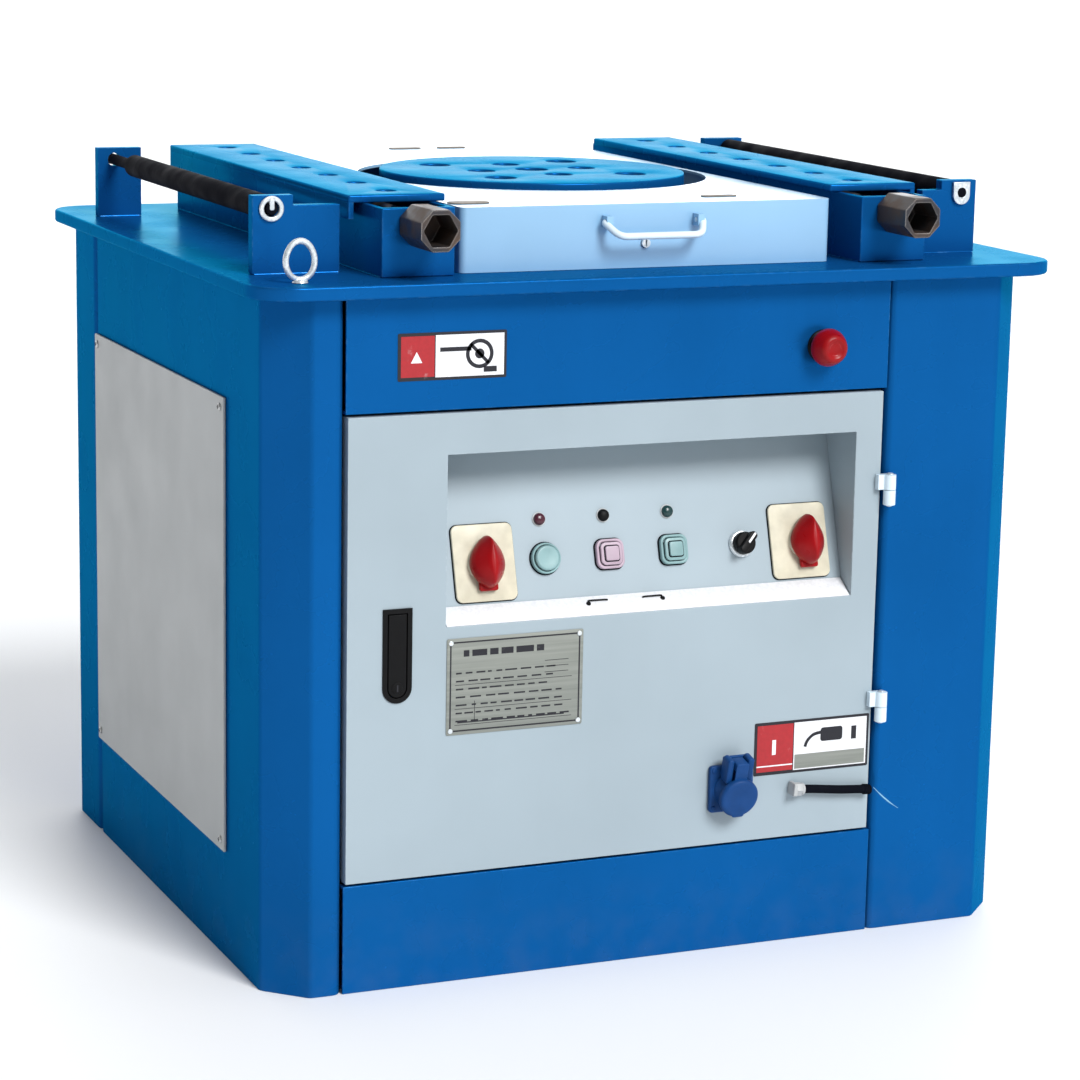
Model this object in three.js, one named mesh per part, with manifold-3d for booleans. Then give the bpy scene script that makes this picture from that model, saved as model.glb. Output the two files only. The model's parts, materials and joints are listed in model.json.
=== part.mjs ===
// A floor-standing rebar bending machine: a work disc turning in the middle of a steel deck, a pin
// strip on a feed screw and a support roller at each side, and a folded sheet cabinet with the drive.
// Millimetres, +Z up. The operator stands at -Y, and +X is the operator's right.
// The origin is on the floor under the middle of the machine.
import * as THREE from 'three';
import { mergeVertices } from 'three/addons/utils/BufferGeometryUtils.js';
import Module from 'manifold-3d';

const wasm = await Module();
wasm.setup();

// ---------------------------------------------------------------- driving dimensions
const GAP = 0.3; // between pieces that touch
const BIG = 1000; // longer than any piece, for cuts that run right through
const SIDES = { left: -1, right: 1 };

const cabinet = { halfWidth: 420, halfDepth: 365, height: 702, sheet: 3, chamfer: 40, bend: 9, lip: 15 };
const rearChamfer = 15;
const seam = { frontLeft: -347, frontRight: 250, rear: 347, side: 263.5, gap: 0.6 };
const frontPanel = { lowerTop: 112, upperFoot: 588, lip: 12 };
const sideOpening = { front: -205, rear: 244, low: 128, high: 572 };
const accessPanel = { front: -219, rear: 258, low: 114, high: 586, sheet: 3 };
const vent = { width: 150, height: 8, pitch: 26, rows: 6, centre: 150, low: 420 };
const floorPan = { inset: 17, sheet: 4 };

const deck = { halfWidth: 441, front: -390, rear: 400, thickness: 14, corner: 47, shaftHole: 42 };
const deckTop = cabinet.height + deck.thickness;
const cover = { left: -213, right: 197, front: -325, rear: 345, top: 781, sheet: 3, opening: 191, corner: 7 };
const coverHinge = { y: 352, z: deckTop + 8, radius: 5, halfLength: 190 };
const handle = { left: -58, right: 43, z: 764, reach: 18, drop: 12, rod: 4.5 };
const coverLock = { x: -13, z: 741, radius: 5 };

const disc = { radius: 167, top: 786, thickness: 22, boss: 44, bossFoot: 728, centreHole: 18 };
const discHoles = [
  { ring: 62, radius: 15, start: 5 },
  { ring: 112, radius: 17, start: 50 },
];

const beam = { centre: 263, front: -340, rear: 340, halfWidth: 38, wall: 6, top: 783.6, endPlate: 10 };
const strip = { inner: 215, outer: 317, front: -288, rear: 316, top: 791.6, thickness: 7.6 };
const stripLip = { thickness: 6, foot: 768 };
const stripHole = { count: 7, pitch: 86, radius: 10, middle: 10 };
const screw = { z: 767, radius: 12, socketRadius: 22, socketLength: 59, boreRadius: 17.5, boreDepth: 46 };
const nut = { halfWidth: 25, from: 16, to: 46, foot: 744, bore: 13.5 };

const roller = { z: 780, radius: 12, front: -270, journal: 6, x: { left: -395, right: 374 } };
const rollerRear = { left: 190, right: 269 };
const bracket = { frontFace: -284, rearFace: 283, plate: 12, top: 793, hole: 7.5 };
const bracketWidth = { left: 90, right: 65, rear: 50, beyondRoller: 19, shelf: 42, step: 10 };
const eye = { x: -389, y: -354, radius: 17.5, height: 43, rod: 6, bore: 11.5, rearY: 372 };

const door = { left: -344, right: 244, low: 115, high: 585, front: -367, sheet: 2, depth: 20 };
const recess = { left: -240, right: 214, high: 543.5, deepY: -297, foot: 385, footY: -344.7, lip: 370 };
const fascia = { sheet: 3 };
const latch = { x: -291.5, width: 31, low: 297, high: 393, proud: 1.6, depth: 16, rim: 4 };
const doorHinge = { x: 251.5, y: -374.5, radius: 6.5, half: 15.7, heights: { upper: 482, lower: 249 } };
const estop = { x: 171, z: 635, radius: 20, travel: 5 };
const inlet = { x: 79, z: 176, flange: 50, plate: 6, barrel: 18, reach: 20, tilt: 14 };
const inletLid = { radius: 21.5, thickness: 8 };
const inletHinge = { pivot: 34, top: 42, half: 15, slot: 8 };
const doorCable = { z: 164, y: -375.5, radius: 4.8, from: 162, to: 233, slope: 5.7 };

const shaft = { radius: 30, foot: 572, secondary: 18, input: 11 };
const gearTeeth = { gear: 60, pinion: 12, addendum: 0.75, dedendum: 1.05, flank: 25, backlash: 1.5 };
const finalStage = { module: 5, low: 630, high: 664, bearing: 145 }; // bearing: degrees about +Z
const firstStage = { module: 3.5, low: 584, high: 608, bearing: 30 };
const gearbox = { left: -272, right: 170, front: -170, rear: 228, low: 558, high: 686, wall: 8 };
const belt = { low: 496, high: 524, thickness: 9, slack: 0.8 };
const pulley = { low: 490, high: 530, driven: 125, drive: 48, flange: 6, web: 10 };
const motor = { x: 228, y: 190, radius: 92, low: 158, high: 440, shaft: 14 };
const stand = { halfWidth: 105, top: 150, plate: 8 };

// ---------------------------------------------------------------- materials
const paint = (color, roughness, metalness = 0) => (
  new THREE.MeshStandardMaterial({ color, roughness, metalness })
);
const blue = paint(0x0a57ab, 0.35);
const deepBlue = paint(0x0b4f9c, 0.3);
const doorWhite = paint(0xd5dde2, 0.45);
const sideGrey = paint(0xb9bfc4, 0.5);
const coverWhite = paint(0xeaf2f6, 0.4);
const rawSteel = paint(0x6f6a66, 0.45, 0.9);
const zinc = paint(0xe4eaec, 0.35, 0.6);
const blackRubber = paint(0x14161a, 0.6);
const blackPlastic = paint(0x101318, 0.45);
const redPlastic = paint(0xc5131c, 0.35);
const socketBlue = paint(0x0d4e9b, 0.4);
const greenPlastic = paint(0x8fc9c0, 0.35);
const pinkPlastic = paint(0xd8b4bc, 0.35);
const castIron = paint(0x4c5357, 0.6, 0.5);
const cutSteel = paint(0x9aa0a3, 0.35, 0.9);

// ---------------------------------------------------------------- solids
const rad = THREE.MathUtils.degToRad;
const point = (x, y) => new THREE.Vector2(x, y);

// A closed geometry as a solid that can be cut and joined.
function solidOf(geometry) {
  const corners = (geometry.index ? geometry.toNonIndexed() : geometry).getAttribute('position');
  const merged = mergeVertices(new THREE.BufferGeometry().setAttribute('position', corners), 1e-4);
  const vertProperties = merged.attributes.position.array;
  const triVerts = new Uint32Array(merged.index.array);
  return new wasm.Manifold(new wasm.Mesh({ numProp: 3, vertProperties, triVerts }));
}

const joined = (first, ...others) => others.reduce((whole, next) => whole.add(next), first);
const cut = (solid, ...tools) => tools.reduce((rest, tool) => rest.subtract(tool), solid);

// A box from its lowest and highest x, y and z, tipped about the X axis if an angle is given.
function box([x0, x1], [y0, y1], [z0, z1], tip = 0) {
  const geometry = new THREE.BoxGeometry(x1 - x0, y1 - y0, z1 - z0);
  return solidOf(geometry.translate((x0 + x1) / 2, (y0 + y1) / 2, (z0 + z1) / 2).rotateX(tip));
}

// Turns a geometry built along +Z so that it runs along the named axis instead.
const alongAxis = {
  z: (geometry) => geometry,
  y: (geometry) => geometry.applyMatrix4(basis([0, 0, 1], [1, 0, 0], [0, 1, 0])),
  x: (geometry) => geometry.applyMatrix4(basis([0, 1, 0], [0, 0, 1], [1, 0, 0])),
};

function basis(...columns) {
  return new THREE.Matrix4().makeBasis(...columns.map((column) => new THREE.Vector3(...column)));
}

function extruded(shape, depth) {
  return new THREE.ExtrudeGeometry(shape, { depth, bevelEnabled: false, curveSegments: 8 });
}

// A shape extruded from one station to another. Its own x and y become x and y along z,
// y and z along x, and z and x along y.
function prism(shape, from, to, axis = 'z') {
  return solidOf(alongAxis[axis](extruded(shape, to - from).translate(0, 0, from)));
}

// A shape drawn as seen from the front, x across and z up, extruded through y.
function plate(shape, front, back) {
  return solidOf(extruded(shape, back - front).rotateX(Math.PI / 2).translate(0, back, 0));
}

// A round bar between two stations of an axis. The centre is given in x and y for z,
// x and z for y, and y and z for x.
function rod(radius, from, to, { axis = 'z', at = [0, 0], sides = 16, turn = 0 } = {}) {
  const shape = polygon(radius, sides, turn);
  const [a, b] = axis === 'y' ? [at[1], at[0]] : at;
  const moved = new THREE.Shape(shape.getPoints().map((p) => point(p.x + a, p.y + b)));
  return prism(moved, from, to, axis);
}

function polygon(radius, sides, turn = 0) {
  const corner = (i) => rad(turn) + (2 * Math.PI * i) / sides;
  const points = Array.from({ length: sides }, (_, i) => corner(i));
  return new THREE.Shape(points.map((a) => point(radius * Math.cos(a), radius * Math.sin(a))));
}

// A turned piece about +Z, from a profile of [radius, height] pairs running upwards.
function turned(profile, sides = 18) {
  const points = profile.map(([r, z]) => point(r, z));
  return solidOf(new THREE.LatheGeometry(points, sides).rotateX(Math.PI / 2));
}

function rectangle(x0, x1, y0, y1, corner = 0, steps = 4) {
  const corners = [[x1, y1, 0], [x0, y1, 90], [x0, y0, 180], [x1, y0, 270]];
  const arc = ([x, y, start]) => {
    const cx = x - corner * Math.sign(x - (x0 + x1) / 2);
    const cy = y - corner * Math.sign(y - (y0 + y1) / 2);
    const angles = Array.from({ length: steps + 1 }, (_, i) => rad(start + (90 * i) / steps));
    return angles.map((a) => point(cx + corner * Math.cos(a), cy + corner * Math.sin(a)));
  };
  if (corner === 0) return new THREE.Shape(corners.map(([x, y]) => point(x, y)));
  return new THREE.Shape(corners.flatMap(arc));
}

// A folded sheet seen from above. The outer face follows the points, with the cabinet's inside on
// the left of the path, every fold is rounded, and the inner face is one sheet thickness inside.
function foldedSheet(points, thickness, bend) {
  const outer = [];
  const inner = [];
  const keep = (p, normal) => {
    outer.push(p.clone());
    inner.push(p.clone().addScaledVector(normal, thickness));
  };
  const direction = (a, b) => b.clone().sub(a).normalize();
  const leftOf = (d) => point(-d.y, d.x);
  points.forEach((corner, i) => {
    const before = points[i - 1] && direction(points[i - 1], corner);
    const after = points[i + 1] && direction(corner, points[i + 1]);
    if (!before || !after) return keep(corner, leftOf(before ?? after));
    const turn = Math.acos(before.dot(after));
    const start = corner.clone().addScaledVector(before, -bend * Math.tan(turn / 2));
    const centre = start.clone().addScaledVector(leftOf(before), bend);
    const steps = Math.max(2, Math.round(turn / rad(22.5)));
    for (let k = 0; k <= steps; k += 1) {
      const normal = leftOf(before).rotateAround(point(0, 0), (turn * k) / steps);
      keep(centre.clone().addScaledVector(normal, -bend), normal);
    }
  });
  return new THREE.Shape([...outer, ...inner.reverse()]);
}

function geometryOf(solid) {
  const { vertProperties, triVerts } = solid.getMesh();
  const geometry = new THREE.BufferGeometry();
  geometry.setAttribute('position', new THREE.BufferAttribute(vertProperties, 3));
  geometry.setIndex(new THREE.BufferAttribute(triVerts, 1));
  geometry.computeVertexNormals();
  return geometry;
}

function part(name, solid, material) {
  const mesh = new THREE.Mesh(geometryOf(solid), material);
  mesh.name = name;
  return mesh;
}

// ---------------------------------------------------------------- cabinet
function sideShell(name, path) {
  const { sheet, bend, height, halfWidth } = cabinet;
  const shell = prism(foldedSheet(path, sheet, bend), 0, height - GAP);
  const { front, rear, low, high } = sideOpening;
  const inside = halfWidth - cabinet.lip - sheet;
  const across = path[1].x < 0 ? [-BIG, -inside] : [inside, BIG];
  return part(name, cut(shell, box(across, [front, rear], [low, high])), blue);
}

function leftSideShell() {
  const { halfWidth: w, halfDepth: d, chamfer: c, lip } = cabinet;
  const edge = seam.frontLeft;
  return sideShell('left_side_shell', [
    point(-w + lip, seam.side - seam.gap), point(-w, seam.side - seam.gap), point(-w, -d + c),
    point(-w + c, -d), point(edge, -d), point(edge, -d + lip),
  ]);
}

function rightSideShell() {
  const { halfWidth: w, halfDepth: d, chamfer: c, lip } = cabinet;
  const edge = seam.frontRight;
  return sideShell('right_side_shell', [
    point(edge, -d + lip), point(edge, -d), point(w - c, -d),
    point(w, -d + c), point(w, seam.side - seam.gap), point(w - lip, seam.side - seam.gap),
  ]);
}

function rearPost(side) {
  const { halfWidth: w, halfDepth: d, lip, sheet, bend, height } = cabinet;
  const c = rearChamfer;
  const seamY = seam.side + seam.gap;
  const right = [
    point(w - lip, seamY), point(w, seamY), point(w, d - c),
    point(w - c, d), point(seam.rear + seam.gap, d), point(seam.rear + seam.gap, d - lip),
  ];
  const path = side === 'right' ? right : right.map((p) => point(-p.x, p.y)).reverse();
  return part(`rear_${side}_post`, prism(foldedSheet(path, sheet, bend), 0, height - GAP), blue);
}

function rearPanel() {
  const { halfDepth, sheet, height } = cabinet;
  const half = seam.rear - seam.gap;
  const panel = box([-half, half], [halfDepth - sheet, halfDepth], [0, height - GAP]);
  const slots = [];
  for (const centre of [-vent.centre, vent.centre]) {
    for (let row = 0; row < vent.rows; row += 1) {
      const z = vent.low + row * vent.pitch;
      const slot = rectangle(centre - vent.width / 2, centre + vent.width / 2, z, z + vent.height, 3.9, 2);
      slots.push(plate(slot, halfDepth - BIG / 10, halfDepth + BIG / 10));
    }
  }
  return part('rear_panel', cut(panel, ...slots), blue);
}

// An angle section: the face of the panel, and a lip folded inwards at the door's edge.
function frontPanelSolid(faceLow, faceHigh, lipLow) {
  const { halfDepth, sheet } = cabinet;
  const across = [seam.frontLeft + 2 * seam.gap, seam.frontRight - 2 * seam.gap];
  const face = box(across, [-halfDepth, -halfDepth + sheet], [faceLow, faceHigh]);
  return joined(face, box(across, [-halfDepth, -halfDepth + frontPanel.lip], [lipLow, lipLow + sheet]));
}

function frontUpperPanel() {
  const { upperFoot } = frontPanel;
  const panel = frontPanelSolid(upperFoot, cabinet.height - GAP, upperFoot);
  const hole = rod(estop.radius * 0.6, -BIG, 0, { axis: 'y', at: [estop.x, estop.z] });
  return part('front_upper_panel', cut(panel, hole), blue);
}

function frontLowerPanel() {
  const { lowerTop } = frontPanel;
  return part('front_lower_panel', frontPanelSolid(0, lowerTop, lowerTop - cabinet.sheet), blue);
}

function accessPanelPiece(side) {
  const { front, rear, low, high, sheet } = accessPanel;
  const inner = cabinet.halfWidth + GAP;
  const across = side === 'right' ? [inner, inner + sheet] : [-inner - sheet, -inner];
  return part(`${side}_access_panel`, box(across, [front, rear], [low, high]), sideGrey);
}

// The bottom sheet with chamfered corners, and the motor's stand welded to it.
function floorPanPiece() {
  const { inset, sheet } = floorPan;
  const x = cabinet.halfWidth - inset;
  const y = cabinet.halfDepth - inset;
  const c = cabinet.chamfer - inset / 2;
  const outline = new THREE.Shape([
    point(-x + c, -y), point(x - c, -y), point(x, -y + c), point(x, y - c),
    point(x - c, y), point(-x + c, y), point(-x, y - c), point(-x, -y + c),
  ]);
  const { halfWidth: h, top, plate: t } = stand;
  const across = [motor.x - h, motor.x + h];
  const along = [motor.y - h, motor.y + h];
  return part('floor_pan', joined(
    prism(outline, 0, sheet),
    box([motor.x - h, motor.x - h + t], along, [sheet / 2, top]),
    box([motor.x + h - t, motor.x + h], along, [sheet / 2, top]),
    box(across, along, [top - t, top]),
  ), deepBlue);
}

// ---------------------------------------------------------------- deck and cover
function workTable() {
  const { halfWidth: w, front, rear, thickness, corner, shaftHole } = deck;
  const slab = prism(rectangle(-w, w, front, rear, corner, 6), cabinet.height, cabinet.height + thickness);
  return part('work_table', cut(slab, rod(shaftHole, 0, BIG)), blue);
}

// A box open at its foot, with the round opening for the disc and two welded lugs for the handle.
function turntableCover() {
  const { left, right, front, rear, top, sheet, opening, corner } = cover;
  const foot = deckTop + GAP;
  const outer = prism(rectangle(left, right, front, rear, corner, 3), foot, top);
  const room = rectangle(left + sheet, right - sheet, front + sheet, rear - sheet, corner - sheet, 3);
  const lugs = [handle.left, handle.right].map((x) => coverLug(x));
  const lockAxis = { axis: 'y', at: [coverLock.x, coverLock.z] };
  const lockHole = rod(coverLock.radius + GAP, -BIG, front + 10, lockAxis);
  const mouth = rod(opening, 0, BIG, { sides: 56 });
  const shell = cut(outer, prism(room, 0, top - sheet), mouth, lockHole);
  return part('turntable_cover', joined(shell, ...lugs), coverWhite);
}

function coverLug(x) {
  const thickness = 7;
  const body = box([x - thickness / 2, x + thickness / 2], [cover.front - 13, cover.front + 1],
    [handle.z - 6, handle.z + 6]);
  return cut(body, rod(2.8, -BIG, BIG, { axis: 'x', at: [cover.front - 7, handle.z], sides: 12 }));
}

// The bail: pins turned in through the lugs, two sloping arms and the bar between them.
function coverHandle() {
  const { left, right, z, reach, drop, rod: r } = handle;
  const arm = 4.5;
  const y0 = cover.front - 7;
  const bar = rod(r, left - 8, right + 8, { axis: 'x', at: [y0 - reach, z - drop], sides: 12 });
  const ends = [[left, -1], [right, 1]].flatMap(([x, side]) => {
    const [from, to] = [x - side * 3, x + side * 8].sort((a, b) => a - b);
    const pin = rod(2.3, from, to, { axis: 'x', at: [y0, z], sides: 12 });
    const near = Math.min(x + side * 4.5, x + side * 8);
    const slope = new THREE.Shape([
      point(y0 + arm * 0.7, z - arm * 0.7), point(y0 - reach + arm * 0.7, z - drop - arm * 0.7),
      point(y0 - reach - arm * 0.7, z - drop + arm * 0.7), point(y0 - arm * 0.7, z + arm * 0.7),
    ]);
    return [pin, prism(slope, near, near + 3.5, 'x')];
  });
  return part('cover_handle', joined(bar, ...ends), coverWhite);
}

function coverLockPiece() {
  const { x, z, radius } = coverLock;
  const barrel = rod(radius - GAP, cover.front - 3, cover.front + 16, { axis: 'y', at: [x, z] });
  const cam = box([x - 5, x + 5], [cover.front + 12, cover.front + 15], [z - 18, z + 6]);
  const keyway = box([x - 0.8, x + 0.8], [-BIG, cover.front + 3], [z - 3.5, z + 3.5]);
  return part('cover_lock', cut(joined(barrel, cam), keyway), zinc);
}

// The fixed half of the cover's hinge: a barrel on a foot that stands on the deck.
function coverHingePiece() {
  const { y, z, radius, halfLength } = coverHinge;
  const barrel = rod(radius, -halfLength, halfLength, { axis: 'x', at: [y, z] });
  const foot = box([-halfLength, halfLength], [y - 1.5, y + 22], [deckTop + GAP, deckTop + GAP + 3]);
  const web = box([-halfLength, halfLength], [y - 1.5, y + 1.5], [deckTop + GAP, z]);
  return part('cover_hinge', joined(barrel, web, foot), cutSteel);
}

function liftingEye(name, x, y) {
  const { radius, height, rod: r, bore } = eye;
  const low = deckTop + GAP;
  const centre = low + height - radius;
  const outline = new THREE.Shape();
  outline.absarc(x, centre, radius, rad(-32), rad(212), false);
  outline.lineTo(x - 9, low).lineTo(x + 9, low);
  const loop = new THREE.Path();
  loop.absarc(x, centre, bore, rad(-38), rad(218), false);
  outline.holes.push(loop);
  return part(name, plate(outline, y - r / 2, y + r / 2), zinc);
}

// ---------------------------------------------------------------- pin strips and feed screws
function guideChannel(side) {
  const s = SIDES[side];
  const { centre, front, rear, halfWidth: h, wall, top, endPlate } = beam;
  const low = deckTop + GAP;
  const across = [s * centre - h, s * centre + h];
  const body = box(across, [front, rear], [low, top]);
  const room = box([across[0] + wall, across[1] - wall], [front + endPlate, rear - endPlate],
    [low + wall + 2, BIG]);
  const bore = rod(nut.bore + 1, -BIG, BIG, { axis: 'y', at: [s * centre, screw.z] });
  return part(`${side}_guide_channel`, cut(body, room, bore), blue);
}

// The strip is an angle section: its flat slides on the guide channel's edges, its lip hangs down
// outside them, and its nut hangs inside the guide channel.
function pinStrip(side) {
  const s = SIDES[side];
  const { inner, outer, front, rear, top, thickness } = strip;
  const { thickness: lip, foot } = stripLip;
  const between = (from, to) => (s < 0 ? [-to, -from] : [from, to]);
  const low = top - thickness;
  const body = joined(box(between(inner, outer), [front, rear], [low, top]),
    box(between(outer - lip, outer), [front, rear], [foot, top]));
  const holes = Array.from({ length: stripHole.count }, (_, i) => {
    const y = stripHole.middle + (i - (stripHole.count - 1) / 2) * stripHole.pitch;
    return rod(stripHole.radius, low - 1, BIG, { at: [s * beam.centre, y] });
  });
  const centre = s * beam.centre;
  const hanger = box([centre - nut.halfWidth, centre + nut.halfWidth], [nut.from, nut.to],
    [nut.foot, low + 1]);
  const bore = rod(nut.bore, -BIG, BIG, { axis: 'y', at: [centre, screw.z] });
  return part(`${side}_pin_strip`, cut(joined(cut(body, ...holes), hanger), bore), blue);
}

function feedScrew(side) {
  const at = [SIDES[side] * beam.centre, screw.z];
  const face = beam.front - GAP * 2;
  const socket = rod(screw.socketRadius, face - screw.socketLength, face,
    { axis: 'y', at, sides: 8, turn: 22.5 });
  const bore = rod(screw.boreRadius, -BIG, face - screw.socketLength + screw.boreDepth,
    { axis: 'y', at, sides: 6, turn: 30 });
  const spindle = rod(screw.radius, face - 1, beam.rear - 1, { axis: 'y', at });
  return part(`${side}_feed_screw`, joined(cut(socket, bore), spindle), rawSteel);
}

// ---------------------------------------------------------------- rollers
function rollerBracket(side, end) {
  const s = SIDES[side];
  const isFront = end === 'front';
  const { frontFace, rearFace, plate: t, top, hole } = bracket;
  const { beyondRoller, shelf, step } = bracketWidth;
  const low = deckTop + GAP;
  const outer = Math.abs(roller.x[side]) + beyondRoller;
  const inner = outer - (isFront ? bracketWidth[side] : bracketWidth.rear);
  const shoulder = isFront ? outer - shelf : inner;
  const ledge = isFront ? [[shoulder, top - step], [inner, top - step]] : [];
  const points = [[outer, low], [outer, top], [shoulder, top], ...ledge, [inner, low]]
    .map(([x, z]) => point(s * x, z));
  const outline = new THREE.Shape(s > 0 ? points : points.reverse());
  const [y0, y1] = isFront ? [frontFace, frontFace + t] : [rearFace - t, rearFace];
  const bore = rod(hole, -BIG, BIG, { axis: 'y', at: [roller.x[side], roller.z] });
  return part(`${side}_${end}_roller_bracket`, cut(plate(outline, y0, y1), bore), blue);
}

// A drum with a thinner journal at each end, each running into its bracket's bore.
function supportRoller(side) {
  const { x, z, radius, front, journal } = roller;
  const rear = rollerRear[side];
  const ends = [bracket.frontFace - 4, bracket.rearFace + 3];
  const drum = turned([[0, ends[0]], [journal, ends[0]], [journal, front], [radius - 1, front],
    [radius, front + 1], [radius, rear - 1], [radius - 1, rear], [journal, rear], [journal, ends[1]],
    [0, ends[1]]], 20);
  const mesh = part(`${side}_support_roller`, drum, blackRubber);
  mesh.rotation.x = -Math.PI / 2;
  mesh.position.set(x[side], 0, z);
  return mesh;
}

// ---------------------------------------------------------------- turntable and drive
function workDisc() {
  const { radius, top, thickness, boss, bossFoot, centreHole } = disc;
  const body = joined(rod(radius, top - thickness, top, { sides: 60 }),
    rod(boss, bossFoot, top - thickness + 1));
  const holes = discHoles.flatMap(({ ring, radius: r, start }) => [0, 90, 180, 270].map((step) => {
    const at = [ring * Math.cos(rad(start + step)), ring * Math.sin(rad(start + step))];
    return rod(r, top - thickness - 1, BIG, { at });
  }));
  const socket = rod(centreHole, bossFoot + 18, BIG);
  return part('work_disc', cut(body, ...holes, socket), blue);
}

// A spur gear's outline with straight-flanked stub teeth; the first tooth points along phase.
function gearOutline(teeth, size, phase) {
  const pitch = (teeth * size) / 2;
  const { addendum, dedendum, flank, backlash } = gearTeeth;
  const tip = pitch + addendum * size;
  const root = pitch - dedendum * size;
  const halfPitch = (Math.PI * size) / 4 - backlash / 2;
  const halfTip = halfPitch - addendum * size * Math.tan(rad(flank));
  const halfRoot = halfPitch + dedendum * size * Math.tan(rad(flank));
  const corners = [[root, -halfRoot], [tip, -halfTip], [tip, halfTip], [root, halfRoot]];
  return new THREE.Shape(Array.from({ length: teeth }, (_, i) => phase + (2 * Math.PI * i) / teeth)
    .flatMap((a) => corners.map(([r, across]) => {
      const angle = a + Math.asin(across / r);
      return point(r * Math.cos(angle), r * Math.sin(angle));
    })));
}

const stageDistance = (stage) => ((gearTeeth.gear + gearTeeth.pinion) * stage.module) / 2;
const layAxis = point(stageDistance(finalStage), 0).rotateAround(point(0, 0), rad(finalStage.bearing));
const inputAxis = point(stageDistance(firstStage), 0)
  .rotateAround(point(0, 0), rad(firstStage.bearing)).add(layAxis);

// The driven gear has a gap facing its pinion, and the pinion a tooth facing back.
function gearWheel(stage, shaftRadius) {
  const phase = rad(stage.bearing) + Math.PI / gearTeeth.gear;
  const wheel = prism(gearOutline(gearTeeth.gear, stage.module, phase), stage.low, stage.high);
  return shaftRadius ? cut(wheel, rod(shaftRadius + GAP, 0, BIG)) : wheel;
}

function pinion(stage) {
  const phase = rad(stage.bearing) + Math.PI;
  return prism(gearOutline(gearTeeth.pinion, stage.module, phase), stage.low - 2, stage.high + 2);
}

function mainShaft() {
  const collar = rod(shaft.radius + 8, finalStage.high + GAP, finalStage.high + 8);
  return part('main_shaft', joined(rod(shaft.radius, shaft.foot, disc.bossFoot - GAP), collar), cutSteel);
}

function bullGear() {
  return part('bull_gear', gearWheel(finalStage, shaft.radius), castIron);
}

function layshaft() {
  const solid = joined(rod(shaft.secondary, gearbox.low + 3, gearbox.high - 4),
    pinion(finalStage), gearWheel(firstStage, 0));
  const mesh = part('layshaft_gears', solid, castIron);
  mesh.position.set(layAxis.x, layAxis.y, 0);
  return mesh;
}

function inputShaft() {
  const solid = joined(rod(shaft.input, pulley.low - 6, finalStage.low - 8), pinion(firstStage));
  const mesh = part('input_shaft', solid, cutSteel);
  mesh.position.set(inputAxis.x, inputAxis.y, 0);
  return mesh;
}

// A flanged pulley whose rim takes the belt between its flanges.
function pulleyWheel(radius, bore, sides) {
  const { low, high, flange } = pulley;
  const rim = turned([[0, low], [radius + flange, low], [radius + flange, low + 4], [radius, low + 5],
    [radius, high - 5], [radius + flange, high - 4], [radius + flange, high], [0, high]], sides);
  return bore ? cut(rim, rod(bore, 0, BIG)) : rim;
}

function drivenPulley() {
  const { high, low, driven, web } = pulley;
  const wheel = pulleyWheel(driven, shaft.input + GAP, 36);
  const ring = cut(rod(driven - 14, 0, (low + high) / 2 - web), rod(34, 0, BIG));
  const mesh = part('driven_pulley', cut(wheel, ring), castIron);
  mesh.position.set(inputAxis.x, inputAxis.y, 0);
  return mesh;
}

// The motor's own shaft with its pulley keyed on.
function drivePulley() {
  const solid = joined(pulleyWheel(pulley.drive, 0, 20), rod(motor.shaft, motor.high - 30, pulley.low + 1));
  const mesh = part('drive_pulley', solid, cutSteel);
  mesh.position.set(motor.x, motor.y, 0);
  return mesh;
}

// Both outer tangents and the arcs round the two pulleys, as one closed path.
function beltOutline(clearance) {
  const big = pulley.driven + clearance;
  const small = pulley.drive + clearance;
  const start = point(inputAxis.x, inputAxis.y);
  const toMotor = point(motor.x, motor.y).sub(start);
  const heading = toMotor.angle();
  const lean = Math.acos((big - small) / toMotor.length());
  const outline = new THREE.Path();
  outline.absarc(motor.x, motor.y, small, heading - lean, heading + lean, false);
  outline.absarc(start.x, start.y, big, heading + lean, heading - lean + 2 * Math.PI, false);
  return outline.getPoints(10);
}

function driveBelt() {
  const shape = new THREE.Shape(beltOutline(belt.slack + belt.thickness));
  shape.holes.push(new THREE.Path(beltOutline(belt.slack)));
  return part('v_belt', prism(shape, belt.low, belt.high), blackRubber);
}

function gearboxCase() {
  const { left, right, front, rear, low, high, wall } = gearbox;
  const outer = prism(rectangle(left, right, front, rear, 22, 3), low, high);
  const inside = rectangle(left + wall, right - wall, front + wall, rear - wall, 14, 3);
  const room = prism(inside, low + wall + 2, BIG);
  const port = rod(shaft.input + 2, 0, BIG, { at: [inputAxis.x, inputAxis.y] });
  const drain = rod(shaft.secondary + GAP * 2, 0, BIG, { at: [layAxis.x, layAxis.y], sides: 20 });
  return part('gearbox_case', cut(outer, room, port, drain), castIron);
}

function gearboxLid() {
  const { left, right, front, rear, high } = gearbox;
  const slab = prism(rectangle(left, right, front, rear, 22, 3), high + GAP, cabinet.height - GAP);
  return part('gearbox_lid', cut(slab, rod(shaft.radius + 2, 0, BIG)), castIron);
}

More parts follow.
